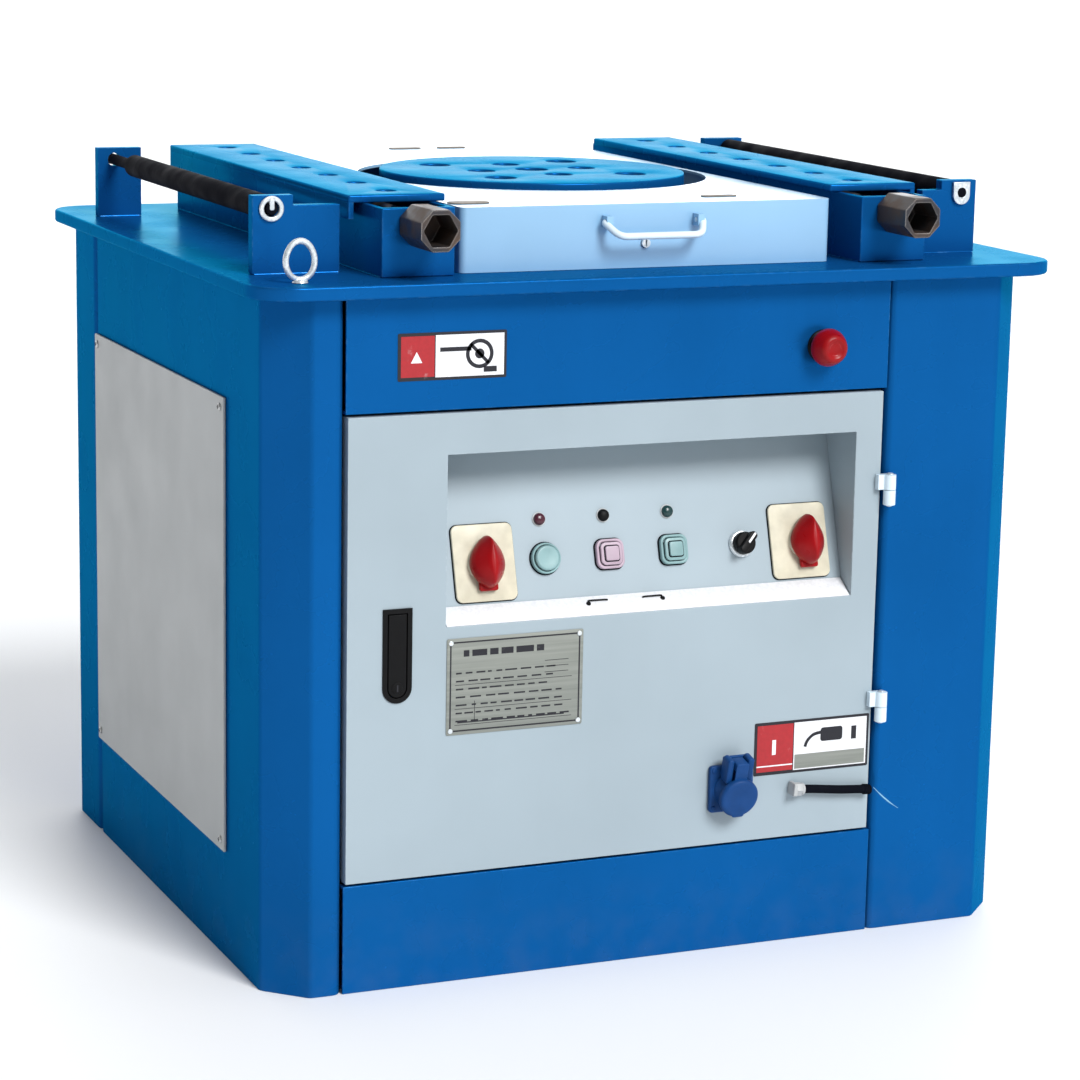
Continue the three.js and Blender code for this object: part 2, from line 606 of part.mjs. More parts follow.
// A finned frame: a ribbed barrel with its flange on the stand's top and a domed upper end.
function motorFrame() {
  const { x, y, radius, low, high, shaft: bore } = motor;
  const ribs = Array.from({ length: 8 }, (_, i) => {
    const rib = new THREE.BoxGeometry(2 * radius, 6, high - low - 70);
    return solidOf(rib.rotateZ(rad(22.5 * i)).translate(0, 0, (low + high) / 2));
  });
  const foot = stand.top + GAP;
  const barrel = turned([[0, foot], [radius, foot], [radius, low + 8], [radius - 12, low + 14],
    [radius - 12, high - 20], [radius - 26, high], [0, high]], 24);
  const opening = rod(bore + 1, high - 40, BIG);
  const mesh = part('motor_frame', cut(joined(barrel, ...ribs), opening), deepBlue);
  mesh.position.set(x, y, 0);
  return mesh;
}

// ---------------------------------------------------------------- door
// The recess in section, y across and z up: roof, inclined back, foot, and the sloping sill.
function recessSection(wall) {
  const { high, deepY, foot, footY, lip } = recess;
  const slope = (deepY - footY) / (high - foot);
  const front = wall ? door.front + 1 : door.front - 10;
  const lipDrop = wall ? 0 : ((door.front - front) * (foot - lip)) / (footY - door.front);
  const past = wall ? 0 : 1; // the opening runs on past the back of the duct
  return new THREE.Shape([
    point(front, high + wall), point(deepY + slope * wall + past, high + wall),
    point(footY - slope * wall + past, foot - wall), point(front, lip - wall - lipDrop),
  ].reverse());
}

function doorShell() {
  const { left, right, low, high, front, sheet, depth } = door;
  const back = front + depth;
  const pan = cut(box([left, right], [front, back], [low, high]),
    box([left + sheet, right - sheet], [front + sheet, BIG], [low + sheet, high - sheet]));
  const duct = prism(recessSection(sheet), recess.left - sheet, recess.right + sheet, 'x');
  const opening = prism(recessSection(0), recess.left, recess.right, 'x');
  const latchHole = plate(latchOutline(-2.5), -BIG, 0);
  return part('door_shell', cut(joined(pan, duct), opening, latchHole), doorWhite);
}

// The fascia's own frame: x along the machine, y up the inclined face, z out towards the operator.
function fasciaGroup() {
  const { left, right, high, deepY, foot, footY } = recess;
  const length = Math.hypot(high - foot, deepY - footY);
  const group = new THREE.Group();
  group.position.set((left + right) / 2, (deepY + footY) / 2, (high + foot) / 2);
  group.rotation.x = Math.atan2(high - foot, deepY - footY);
  const halfWidth = (right - left) / 2;
  const blank = box([-halfWidth - 1.5, halfWidth + 1.5], [-length / 2 - 2, length / 2 + 2],
    [-GAP - fascia.sheet, -GAP]);
  const holes = [...knobs, ...buttons, selector]
    .map(({ x, y, stem }) => rod(stem + 1, -BIG, BIG, { at: [x, y] }));
  group.add(part('control_fascia', cut(blank, ...holes), doorWhite));
  knobs.forEach((knob) => group.add(rotaryKnob(knob)));
  buttons.forEach((button) => group.add(pushButton(button)));
  group.add(selectorKnob());
  return group;
}

const fasciaRow = -41; // height of the lower row of controls above the middle of the fascia
const knobs = [{ name: 'left_rotary_knob', x: -174, y: fasciaRow, stem: 5 },
  { name: 'right_rotary_knob', x: 187, y: fasciaRow, stem: 5 }];
const buttons = [
  { name: 'left_push_button', x: -107, y: fasciaRow, stem: 11, material: greenPlastic },
  { name: 'middle_push_button', x: -36, y: fasciaRow, stem: 11, material: pinkPlastic },
  { name: 'right_push_button', x: 36, y: fasciaRow, stem: 11, material: greenPlastic },
];
const selector = { name: 'selector_knob', x: 115, y: fasciaRow + 1, stem: 8 };
const knobShape = { disc: 17, discTop: 12, grip: 8, gripTop: 30, base: 6, switchDepth: 14 };
const buttonShape = { cap: 10, top: 9 };

// A round base with a tapered grip bar across it, on a spindle through the fascia.
function rotaryKnob({ name, x, y, stem }) {
  const { disc: r, discTop, grip, gripTop, base, switchDepth } = knobShape;
  const narrow = grip * 0.75;
  const bar = new THREE.Shape([
    point(-grip, -r - 2), point(grip, -r - 2), point(narrow, r + 4), point(-narrow, r + 4),
  ]);
  const round = turned([[0, base], [r, base], [r - 2, discTop], [0, discTop]]);
  const solid = joined(rod(stem, -switchDepth, base + 1), round, prism(bar, discTop - 1, gripTop));
  const mesh = part(name, solid, redPlastic);
  mesh.position.set(x, y, 0);
  return mesh;
}

function pushButton({ name, x, y, stem, material }) {
  const { cap, top } = buttonShape;
  const head = turned([[0, 1], [cap, 1], [cap, top - 1], [cap - 1, top], [0, top]]);
  const solid = joined(rod(stem - 1, -knobShape.switchDepth, 2), head);
  const mesh = part(name, solid, material);
  mesh.position.set(x, y, 0);
  return mesh;
}

function selectorKnob() {
  const { name, x, y, stem } = selector;
  const round = turned([[0, 3], [11, 3], [11, 9], [0, 9]]);
  const grip = box([-3.5, 3.5], [-11, 13], [8, 20]);
  const solid = joined(rod(stem, -knobShape.switchDepth, 4), round, grip);
  const mesh = part(name, solid, blackPlastic);
  mesh.position.set(x, y, 0);
  return mesh;
}

// The latch as seen from the front: a flat top and a round bottom, grown by a margin all round.
function latchOutline(margin) {
  const half = latch.width / 2 + margin;
  const centre = latch.low + latch.width / 2;
  const outline = new THREE.Shape();
  outline.absarc(latch.x, centre, half, Math.PI, 2 * Math.PI, false);
  outline.lineTo(latch.x + half, latch.high + margin).lineTo(latch.x - half, latch.high + margin);
  return outline;
}

function latchBody() {
  const { proud, depth, rim } = latch;
  const flange = plate(latchOutline(0), door.front - proud, door.front - GAP);
  const cup = plate(latchOutline(-3), door.front - 1, door.front + depth);
  const pocket = plate(latchOutline(-rim - 1), -BIG, door.front + depth - 4);
  return part('door_latch_body', cut(joined(flange, cup), pocket), blackPlastic);
}

function latchHandle() {
  const paddle = plate(latchOutline(-latch.rim - 2), door.front - latch.proud, door.front + 5);
  return part('door_latch_handle', paddle, blackPlastic);
}

// One half of a block hinge: a barrel, and a leaf that reaches its own side of the seam.
function doorHingeHalf(name, low, leafTo) {
  const { x, y, radius, half } = doorHinge;
  const high = low + half;
  const leaf = leafTo < x ? [leafTo, x] : [x, leafTo];
  const face = leafTo < x ? door.front - GAP : -cabinet.halfDepth - GAP;
  const body = joined(rod(radius, low, high, { at: [x, y] }), box(leaf, [y, face], [low, high]));
  return part(name, body, coverWhite);
}

function doorHinges() {
  return Object.entries(doorHinge.heights).flatMap(([name, middle]) => [
    doorHingeHalf(`${name}_hinge_fixed_half`, middle - doorHinge.half - GAP, doorHinge.x + 7.5),
    doorHingeHalf(`${name}_hinge_door_half`, middle + GAP, door.right - 6),
  ]);
}

// The mushroom head on its stem: the head stands clear of the panel by more than its travel.
function emergencyStop() {
  const { x, z, radius, travel } = estop;
  const foot = travel + 3;
  const stem = radius / 2;
  const solid = turned([[0, -14], [stem, -14], [stem, foot], [radius, foot + 3], [radius, foot + 12],
    [radius - 3, foot + 18], [radius - 9, foot + 22], [0, foot + 23]]);
  const mesh = part('emergency_stop', solid, redPlastic);
  mesh.rotation.x = Math.PI / 2;
  mesh.position.set(x, -cabinet.halfDepth, z);
  return mesh;
}

// A round bar about +Z, tipped about the X axis.
function tippedRod(radius, from, to, tip) {
  const geometry = new THREE.CylinderGeometry(radius, radius, to - from, 20);
  return solidOf(geometry.rotateX(Math.PI / 2).translate(0, 0, (from + to) / 2).rotateX(tip));
}

// The inlet's frame: z points out of the door, and the socket and its lid lean down by the tilt.
function inletGroup() {
  const { x, z, flange, plate: t, barrel, reach, tilt } = inlet;
  const { pivot, top, half, slot } = inletHinge;
  const h = flange / 2;
  const lean = rad(tilt);
  const group = new THREE.Group();
  group.position.set(x, door.front - GAP, z);
  group.rotation.x = Math.PI / 2;
  const outside = box([-BIG, BIG], [-BIG, BIG], [0, BIG]);
  const neck = tippedRod(barrel, -10, reach, lean).intersect(outside);
  const ears = [[-half, -slot], [slot, half]]
    .map((across) => box(across, [barrel - 6, top], [0, reach - 1], lean).intersect(outside));
  const mount = prism(rectangle(-h, h, -h, h, 6, 3), 0, t);
  const mouth = tippedRod(barrel - 4, t + 3, BIG, lean);
  group.add(part('socket_body', cut(joined(mount, neck, ...ears), mouth), socketBlue));
  const cap = rodOut(inletLid.radius, reach + GAP, reach + inletLid.thickness);
  const arm = box([1 - slot, slot - 1], [barrel - 4, pivot + 5], [reach + 1, reach + 3]);
  const knuckle = box([1 - slot, slot - 1], [pivot - 5, pivot + 5], [7, reach + 3]);
  const lidMesh = part('socket_lid', joined(cap, arm, knuckle), socketBlue);
  lidMesh.rotation.x = lean;
  group.add(lidMesh);
  return group;
}

// The lid's disc with a bevelled rim.
function rodOut(radius, from, to) {
  return turned([[0, from], [radius, from], [radius, to - 3], [radius - 3, to], [0, to]], 20);
}

// A round bar on the door cable's sloping line, between two stations of x.
function alongCable(radius, from, to) {
  const { y, z, from: start, to: end, slope } = doorCable;
  const middle = (start + end) / 2;
  const bar = new THREE.CylinderGeometry(radius, radius, to - from, 12).rotateZ(Math.PI / 2);
  bar.translate((from + to) / 2 - middle, 0, 0).rotateY(rad(slope)).translate(middle, y, z);
  return solidOf(bar);
}

function cableHeight(x) {
  return doorCable.z - (x - (doorCable.from + doorCable.to) / 2) * Math.tan(rad(doorCable.slope));
}

function doorCablePiece() {
  const { radius, from, to } = doorCable;
  return part('door_cable', alongCable(radius, from, to), blackRubber);
}

function cableGland() {
  const { y, radius, from } = doorCable;
  const z = cableHeight(from - 9);
  const nutBody = alongCable(radius + 3, from - 14, from - GAP);
  const foot = box([from - 14, from - 4], [y, door.front - GAP], [z - 7, z + 7]);
  return part('cable_gland', joined(nutBody, foot), sideGrey);
}

// The boot that turns the cable in behind the door's edge.
function cableBoot() {
  const { y, radius, to } = doorCable;
  const z = cableHeight(to + 5);
  const sleeve = alongCable(radius + 0.6, to + GAP, door.right - 1);
  const foot = box([to + 1.5, door.right - 1.6], [y, door.front - GAP], [z - 4.5, z + 4.5]);
  return part('cable_boot', joined(sleeve, foot), blackRubber);
}

// ---------------------------------------------------------------- the machine
const bender = new THREE.Group();
const bothSides = Object.keys(SIDES);
bender.add(floorPanPiece(), leftSideShell(), rightSideShell());
bender.add(rearPanel(), frontUpperPanel(), frontLowerPanel());
bender.add(...bothSides.flatMap((side) => [rearPost(side), accessPanelPiece(side)]));
bender.add(workTable(), turntableCover(), coverHandle(), coverLockPiece(), coverHingePiece());
bender.add(liftingEye('front_left_lifting_eye', eye.x, eye.y));
bender.add(liftingEye('rear_right_lifting_eye', -eye.x, eye.rearY));
bender.add(...bothSides.flatMap((side) => [guideChannel(side), pinStrip(side), feedScrew(side)]));
bender.add(...bothSides.map(supportRoller));
bender.add(...bothSides.flatMap((side) => [rollerBracket(side, 'front'), rollerBracket(side, 'rear')]));
bender.add(workDisc(), mainShaft(), bullGear(), layshaft(), inputShaft());
bender.add(drivenPulley(), drivePulley(), driveBelt(), gearboxCase(), gearboxLid(), motorFrame());
bender.add(doorShell(), fasciaGroup(), latchBody(), latchHandle(), ...doorHinges());
bender.add(emergencyStop(), inletGroup(), doorCablePiece(), cableGland(), cableBoot());

export default bender;
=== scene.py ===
"""Looks of the rebar bender: materials, detailed pieces, floor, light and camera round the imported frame.

Pieces are built in millimetres and become metres when their mesh is made. Each is placed in the row
frame (+X to the operator's right, +Y to the rear, +Z up) or in the frame of the surface it sits on.
"""

import json
import math
import random

import bmesh
import bpy
from mathutils import Matrix, Vector

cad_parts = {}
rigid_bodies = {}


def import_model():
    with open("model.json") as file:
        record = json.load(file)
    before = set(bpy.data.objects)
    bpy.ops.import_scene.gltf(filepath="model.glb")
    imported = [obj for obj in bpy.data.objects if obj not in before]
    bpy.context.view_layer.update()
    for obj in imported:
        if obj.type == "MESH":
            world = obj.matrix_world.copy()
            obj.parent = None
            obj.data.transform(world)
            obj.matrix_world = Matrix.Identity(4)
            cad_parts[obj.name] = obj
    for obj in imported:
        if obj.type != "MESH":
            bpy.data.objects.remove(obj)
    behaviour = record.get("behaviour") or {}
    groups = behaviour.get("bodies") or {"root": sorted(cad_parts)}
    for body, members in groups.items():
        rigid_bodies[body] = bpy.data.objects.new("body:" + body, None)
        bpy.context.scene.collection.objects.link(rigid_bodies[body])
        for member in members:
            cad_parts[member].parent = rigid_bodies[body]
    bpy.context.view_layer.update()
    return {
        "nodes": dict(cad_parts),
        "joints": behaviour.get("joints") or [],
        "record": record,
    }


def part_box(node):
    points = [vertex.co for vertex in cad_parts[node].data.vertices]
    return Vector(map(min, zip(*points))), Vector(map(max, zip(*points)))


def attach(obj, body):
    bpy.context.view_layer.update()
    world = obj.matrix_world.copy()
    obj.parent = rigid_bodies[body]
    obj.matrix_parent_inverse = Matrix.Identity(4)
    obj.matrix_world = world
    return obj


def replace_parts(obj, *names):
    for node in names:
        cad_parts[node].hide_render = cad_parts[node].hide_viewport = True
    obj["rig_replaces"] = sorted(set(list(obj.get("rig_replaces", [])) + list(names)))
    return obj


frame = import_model()

MM = 0.001
HERE = Matrix.Identity(4)
SIDES = {"left": -1, "right": 1}
JOINTS = {joint["name"]: joint for joint in frame["joints"]}


def span(node):
    """A CAD node's box at rest in millimetres, as ((x0, x1), (y0, y1), (z0, z1))."""
    low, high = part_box(node)
    return [(a / MM, b / MM) for a, b in zip(low, high)]


def middle(pair):
    return (pair[0] + pair[1]) / 2


def centre(node):
    """The middle of a CAD node's box at rest, in millimetres."""
    return [middle(pair) for pair in span(node)]


def pivot(joint):
    """A joint's place at rest, in millimetres."""
    return [value / MM for value in JOINTS[joint]["pos_m"]]


def shift(x, y, z):
    return Matrix.Translation((x, y, z))


def rotation(degrees, axis):
    return Matrix.Rotation(math.radians(degrees), 4, axis)


# -------- camera, light and floor
CAMERA_AT = (-1.3786, -3.2338, 1.0972)
CAMERA_YAW, CAMERA_PITCH, CAMERA_ROLL = 23.36, 11.67, 1.07
LENS = 106.6
FLOOR_REACH = 60


def placed(name, data):
    """A new object in the scene."""
    made = bpy.data.objects.new(name, data)
    bpy.context.scene.collection.objects.link(made)
    return made


def camera():
    data = bpy.data.cameras.new("camera")
    data.lens = LENS
    data.sensor_width = 36
    data.clip_end = 200
    rig = placed("camera", data)
    aim = rotation(-CAMERA_YAW, "Z") @ rotation(90 - CAMERA_PITCH, "X") @ rotation(CAMERA_ROLL, "Z")
    rig.matrix_world = shift(*CAMERA_AT) @ aim
    bpy.context.scene.camera = rig


def sun(name, towards, strength, softness):
    data = bpy.data.lights.new(name, "SUN")
    data.energy = strength
    data.angle = math.radians(softness)
    lamp = placed(name, data)
    lamp.rotation_mode = "QUATERNION"
    lamp.rotation_quaternion = Vector(towards).to_track_quat("Z", "Y")


def studio_world():
    """A pale studio: dim on the machine's left, brighter on its right, brightest low behind it."""
    world = bpy.data.worlds.new("studio")
    world.use_nodes = True
    sky = Nodes(world.node_tree)
    towards = sky.node("ShaderNodeTexCoord").outputs["Generated"]
    x, y, z = sky.node("ShaderNodeSeparateXYZ", {0: towards}).outputs
    ambient = sky.plus(sky.remap(x, -0.7, 0.5, 0.14, 0.60), sky.remap(z, 0.0, 0.9, 0.0, 0.15))
    behind = sky.times(sky.remap(y, 0.3, 0.8, 0.0, 3.2), sky.remap(z, 0.25, 0.6, 1.0, 0.1))
    behind = sky.times(behind, sky.remap(x, -0.25, 0.2, 0.35, 1.0))
    background = world.node_tree.nodes["Background"].inputs
    background["Color"].default_value = (0.97, 0.985, 1.0, 1)
    world.node_tree.links.new(sky.plus(ambient, behind), background["Strength"])
    bpy.context.scene.world = world


def studio_floor():
    mesh = bpy.data.meshes.new("floor")
    corners = rectangle(-FLOOR_REACH, FLOOR_REACH, -FLOOR_REACH, FLOOR_REACH)
    mesh.from_pydata([(*corner, 0) for corner in corners], [], [(0, 1, 2, 3)])
    floor = placed("floor", mesh)
    look = Look("floor", (0.9, 0.91, 0.92), 0.6)
    look.base(look.mix(look.noise(1.5), (0.89, 0.90, 0.91), (0.92, 0.93, 0.94)))
    mesh.materials.append(look.material)


# -------- shader helpers
class Nodes:
    """A node tree built by calls. Each method but node() returns the new node's output."""

    def __init__(self, tree):
        self.tree = tree

    def node(self, kind, inputs=None, **settings):
        """A new node: its settings, and each input given as a value or as another node's output."""
        made = self.tree.nodes.new(kind)
        for key, value in settings.items():
            setattr(made, key, value)
        for key, value in (inputs or {}).items():
            if isinstance(value, bpy.types.NodeSocket):
                self.tree.links.new(value, made.inputs[key])
            else:
                made.inputs[key].default_value = value
        return made

    def where(self):
        """The place on the machine, in the row frame."""
        return self.node("ShaderNodeTexCoord").outputs["Object"]

    def noise(self, scale, detail=3.0, stretch=(1, 1, 1), roughness=0.5):
        """A noise value over the row frame, in features per metre."""
        scaled = self.node("ShaderNodeVectorMath", {0: self.where(), 1: stretch}, operation="MULTIPLY")
        inputs = {"Vector": scaled.outputs[0], "Scale": scale, "Detail": detail, "Roughness": roughness}
        return self.node("ShaderNodeTexNoise", inputs).outputs["Fac"]

    def remap(self, value, low, high, to_low=0.0, to_high=1.0):
        """The value brought from low..high to to_low..to_high, and held there outside."""
        ends = {0: value, 1: low, 2: high, 3: to_low, 4: to_high}
        return self.node("ShaderNodeMapRange", ends, clamp=True).outputs[0]

    def times(self, a, b):
        return self.node("ShaderNodeMath", {0: a, 1: b}, operation="MULTIPLY").outputs[0]

    def plus(self, a, b):
        return self.node("ShaderNodeMath", {0: a, 1: b}, operation="ADD").outputs[0]

    def mix(self, factor, first, second):
        """The first colour where the factor is 0 and the second where it is 1."""
        ends = [(*end, 1) if isinstance(end, tuple) else end for end in (first, second)]
        return self.node("ShaderNodeMix", {0: factor, 6: ends[0], 7: ends[1]}, data_type="RGBA").outputs[2]

    def patches(self, field, low, high, first, second):
        """The first colour where the field is low, the second where it is high, and a blend between."""
        return self.mix(self.remap(field, low, high), first, second)

    def edges(self):
        """1 on worn edges and 0 on flat faces: where a rounded normal leaves the face's own."""
        rounded_off = self.node("ShaderNodeBevel", {"Radius": 0.0022}, samples=4).outputs[0]
        own = self.node("ShaderNodeNewGeometry").outputs["True Normal"]
        agree = self.node("ShaderNodeVectorMath", {0: rounded_off, 1: own}, operation="DOT_PRODUCT")
        return self.remap(agree.outputs["Value"], 0.98, 0.80)


MATERIALS = {}


class Look(Nodes):
    """A material, kept under its name. Extra sockets of its shader are named with _ for a space."""

    def __init__(self, name, colour, roughness, metallic=0.0, **sockets):
        self.material = MATERIALS[name] = bpy.data.materials.new(name)
        self.material.use_nodes = True
        self.material.diffuse_color = (*colour, 1)
        super().__init__(self.material.node_tree)
        self.sockets = self.tree.nodes["Principled BSDF"].inputs
        self.sockets["Base Color"].default_value = (*colour, 1)
        self.sockets["Roughness"].default_value = roughness
        self.sockets["Metallic"].default_value = metallic
        for key, value in sockets.items():
            self.sockets[key.replace("_", " ")].default_value = value

    def base(self, colour):
        self.tree.links.new(colour, self.sockets["Base Color"])

    def gloss(self, field, smoothest, roughest, low=0.3, high=0.7):
        """Roughness that follows a field."""
        self.tree.links.new(self.remap(field, low, high, smoothest, roughest), self.sockets["Roughness"])

    def bump(self, height, strength, distance):
        """Adds a bump of that height field, over any bump that is already there."""
        normal = self.sockets["Normal"]
        inputs = {"Height": height, "Strength": strength, "Distance": distance}
        if normal.links:
            inputs["Normal"] = normal.links[0].from_socket
        self.tree.links.new(self.node("ShaderNodeBump", inputs).outputs[0], normal)


def tone(colour, gain):
    return tuple(channel * gain for channel in colour)


# -------- materials
def paint(name, colour, roughness, metallic=0.0, wear=None, grime=0.05, streaks=0.10, **sockets):
    """Sprayed enamel: orange peel, faint runs down the sheet, dust near the floor and worn edges."""
    look = Look(name, colour, roughness, metallic, **sockets)
    base = look.patches(look.noise(4, 4), 0.35, 0.65, tone(colour, 0.95), tone(colour, 1.05))
    runs = look.remap(look.noise(9, 3, stretch=(3.2, 3.2, 0.35)), 0.35, 0.7)
    base = look.mix(look.times(runs, streaks), base, tone(colour, 1.35))
    height = look.node("ShaderNodeSeparateXYZ", {0: look.where()}).outputs["Z"]
    dust = look.times(look.remap(height, 0.0, 0.10, 1.0, 0.0), look.remap(look.noise(30, 5), 0.42, 0.7))
    base = look.mix(look.times(dust, grime), base, (0.20, 0.19, 0.17))
    if wear:
        chips = look.times(look.edges(), look.remap(look.noise(140, 4), 0.50, 0.62))
        base = look.mix(look.times(chips, 0.6), base, wear)
    look.base(base)
    look.gloss(look.noise(14, 4), roughness * 0.85, roughness * 1.2)
    look.bump(look.noise(420, 2), 0.05, 0.0004)
    look.bump(look.noise(5, 1), 0.10, 0.002)


def raw_steel():
    """Hot-rolled steel: dark scale, brown rust in patches, and bright rubbed edges."""
    look = Look("raw_steel", (0.05, 0.05, 0.055), 0.5, 0.6)
    rust = look.remap(look.noise(28, 6, roughness=0.65), 0.42, 0.62)
    base = look.mix(rust, (0.040, 0.040, 0.046), (0.090, 0.060, 0.045))
    look.base(look.mix(look.times(look.edges(), 0.8), base, (0.45, 0.42, 0.40)))
    look.gloss(rust, 0.38, 0.62, 0, 1)
    look.bump(look.noise(180, 5), 0.25, 0.0006)


def zinc():
    """Zinc plating: pale, with soft spangles."""
    look = Look("zinc", (0.78, 0.81, 0.83), 0.3, 0.55)
    spangle = look.node("ShaderNodeTexVoronoi", {"Vector": look.where(), "Scale": 260}).outputs["Distance"]
    look.base(look.patches(spangle, 0, 0.6, (0.88, 0.90, 0.92), (0.62, 0.67, 0.70)))
    look.gloss(look.noise(90, 3), 0.22, 0.42)
    look.bump(look.noise(500, 2), 0.08, 0.0002)


def rubber(name, colour, roughness):
    """Matt rubber or black oxide with scuffs."""
    look = Look(name, colour, roughness, Specular_IOR_Level=0.04)
    scuffs = look.noise(60, 6, stretch=(1, 0.15, 1), roughness=0.7)
    look.base(look.patches(scuffs, 0.55, 0.75, colour, tone(colour, 1.5)))
    look.gloss(look.noise(35, 4), roughness * 0.75, roughness * 1.2)
    look.bump(look.noise(700, 3), 0.15, 0.0003)


def plastic(name, colour, roughness, texture=0.08, **sockets):
    """Moulded plastic: fine mould texture, slight shading and finger wear."""
    look = Look(name, colour, roughness, **sockets)
    base = look.patches(look.noise(45, 4), 0.35, 0.65, tone(colour, 0.9), tone(colour, 1.1))
    look.base(look.mix(look.times(look.edges(), 0.35), base, tone(colour, 1.7)))
    look.gloss(look.noise(80, 3), roughness * 0.8, roughness * 1.25)
    look.bump(look.noise(1600, 2), texture, 0.0002)


def cast_iron():
    look = Look("cast_iron", (0.09, 0.10, 0.11), 0.6, 0.35)
    look.base(look.patches(look.noise(22, 6), 0.4, 0.65, (0.07, 0.08, 0.09), (0.13, 0.14, 0.15)))
    look.bump(look.noise(260, 5), 0.5, 0.001)


def cut_steel():
    """Turned steel: fine tool marks and a film of oil."""
    look = Look("cut_steel", (0.50, 0.51, 0.52), 0.32, 0.95)
    look.base(look.patches(look.noise(18, 3), 0.4, 0.7, (0.54, 0.55, 0.56), (0.36, 0.35, 0.33)))
    look.bump(look.noise(900, 1, stretch=(0.05, 0.05, 1)), 0.2, 0.0003)


def printed(name, colour, roughness=0.35):
    """Printed vinyl or a lacquered plate: ink mottle, scuffs and a faint ripple."""
    look = Look(name, colour, roughness)
    base = look.patches(look.noise(260, 3), 0.35, 0.65, tone(colour, 0.93), tone(colour, 1.05))
    scuffs = look.remap(look.noise(55, 6, roughness=0.7), 0.62, 0.75)
    look.base(look.mix(look.times(scuffs, 0.25), base, (0.6, 0.6, 0.6)))
    look.bump(look.noise(40, 2), 0.06, 0.0006)


def brushed_plate():
    look = Look("nameplate", (0.22, 0.235, 0.215), 0.45, 0.3)
    grain = look.noise(300, 3, stretch=(0.03, 1, 1))
    look.base(look.patches(grain, 0.3, 0.7, (0.20, 0.215, 0.195), (0.26, 0.275, 0.25)))
    look.bump(grain, 0.12, 0.0002)


BLUE = (0.004, 0.085, 0.280)
GLANCE = {"Specular_Tint": (0.12, 0.80, 0.92, 1), "Specular_IOR_Level": 0.0}  # what the enamel mirrors
paint("machine_blue", BLUE, 0.26, 0.36, wear=(0.08, 0.26, 0.50), **GLANCE)
paint("deep_blue", tone(BLUE, 0.75), 0.30, 0.30, wear=(0.08, 0.22, 0.45))
paint("door_white", (0.300, 0.368, 0.412), 0.42, streaks=0.04, wear=(0.55, 0.63, 0.68))
paint("side_grey", (0.40, 0.415, 0.42), 0.45, streaks=0.04, wear=(0.6, 0.62, 0.63))
paint("cover_white", (0.26, 0.47, 0.68), 0.22, streaks=0.02, grime=0)
raw_steel()
zinc()
rubber("black_rubber", (0.004, 0.0045, 0.008), 0.80)
plastic("black_plastic", (0.0025, 0.0025, 0.003), 0.5, Specular_IOR_Level=0.15)
plastic("red_plastic", (0.27, 0.002, 0.004), 0.32, Specular_IOR_Level=0.22)
plastic("socket_blue", (0.004, 0.046, 0.175), 0.5, Specular_IOR_Level=0.2)
plastic("green_plastic", (0.20, 0.335, 0.345), 0.35)
plastic("pink_plastic", (0.42, 0.32, 0.39), 0.35)
cast_iron()
cut_steel()
plastic("cream_plastic", (0.56, 0.52, 0.40), 0.42)
printed("label_red", (0.36, 0.008, 0.014))
printed("label_white", (0.76, 0.77, 0.80))
printed("label_black", (0.004, 0.004, 0.010), 0.6)
brushed_plate()
plastic("lamp_red", (0.060, 0.010, 0.022), 0.22, texture=0.02)
plastic("lamp_green", (0.008, 0.040, 0.042), 0.22, texture=0.02)
rubber("stud_bronze", (0.22, 0.19, 0.16), 0.5)
# pale blue for the thin line on the right post: a painted highlight
printed("pale_painted_highlight", (0.20, 0.42, 0.60), 0.6)
paint("bright_white", (0.66, 0.78, 0.86), 0.30, streaks=0.02, grime=0)


# -------- the CAD nodes that stay
SLOT_OF = {entry["node"]: entry["material_slot"] for entry in frame["record"]["subparts"]}
USUAL_EDGE = 0.9
EDGE_WIDTHS = {  # rounding of the other nodes' edges, in millimetres, for both sides alike
    "work_table": 5.5, "guide_channel": 1.6, "feed_screw": 1.1, "gearbox_case": 3.0, "gearbox_lid": 2.0,
    "door_latch_body": 0.5, "door_latch_handle": 0.6, "v_belt": 0.5, "bull_gear": 0.4, "layshaft_gears": 0.4,
}


def modify(piece, kind, **settings):
    modifier = piece.modifiers.new(kind.lower(), kind)
    for key, value in settings.items():
        setattr(modifier, key, value)


def finish_node(name, piece):
    """Smooth shading, rounded edges and the slot's material on a CAD node that is shown as it is."""
    mesh = piece.data
    if "custom_normal" in mesh.attributes:
        mesh.attributes.remove(mesh.attributes["custom_normal"])
    mesh.shade_smooth()
    modify(piece, "WELD", merge_threshold=1e-5)
    modify(piece, "DECIMATE", decimate_type="DISSOLVE", angle_limit=math.radians(0.5))
    width = EDGE_WIDTHS.get(name.removeprefix("left_").removeprefix("right_"), USUAL_EDGE) * MM
    modify(piece, "BEVEL", width=width, segments=2, limit_method="ANGLE", angle_limit=math.radians(32),
           miter_outer="MITER_ARC")
    modify(piece, "WEIGHTED_NORMAL", keep_sharp=False)
    mesh.materials.clear()
    mesh.materials.append(MATERIALS["bright_white" if "_hinge_" in name else SLOT_OF[name]])


# -------- mesh helpers
def facing(origin, out, right):
    """The frame of a surface: x to the viewer's right, z out of it."""
    z = Vector(out).normalized()
    x = Vector(right).normalized()
    return shift(*origin) @ Matrix((x, z.cross(x), z)).transposed().to_4x4()


def facing_front(x, z, y):
    return facing((x, y, z), (0, -1, 0), (1, 0, 0))


def facing_rear(x, z, y):
    return facing((x, y, z), (0, 1, 0), (-1, 0, 0))


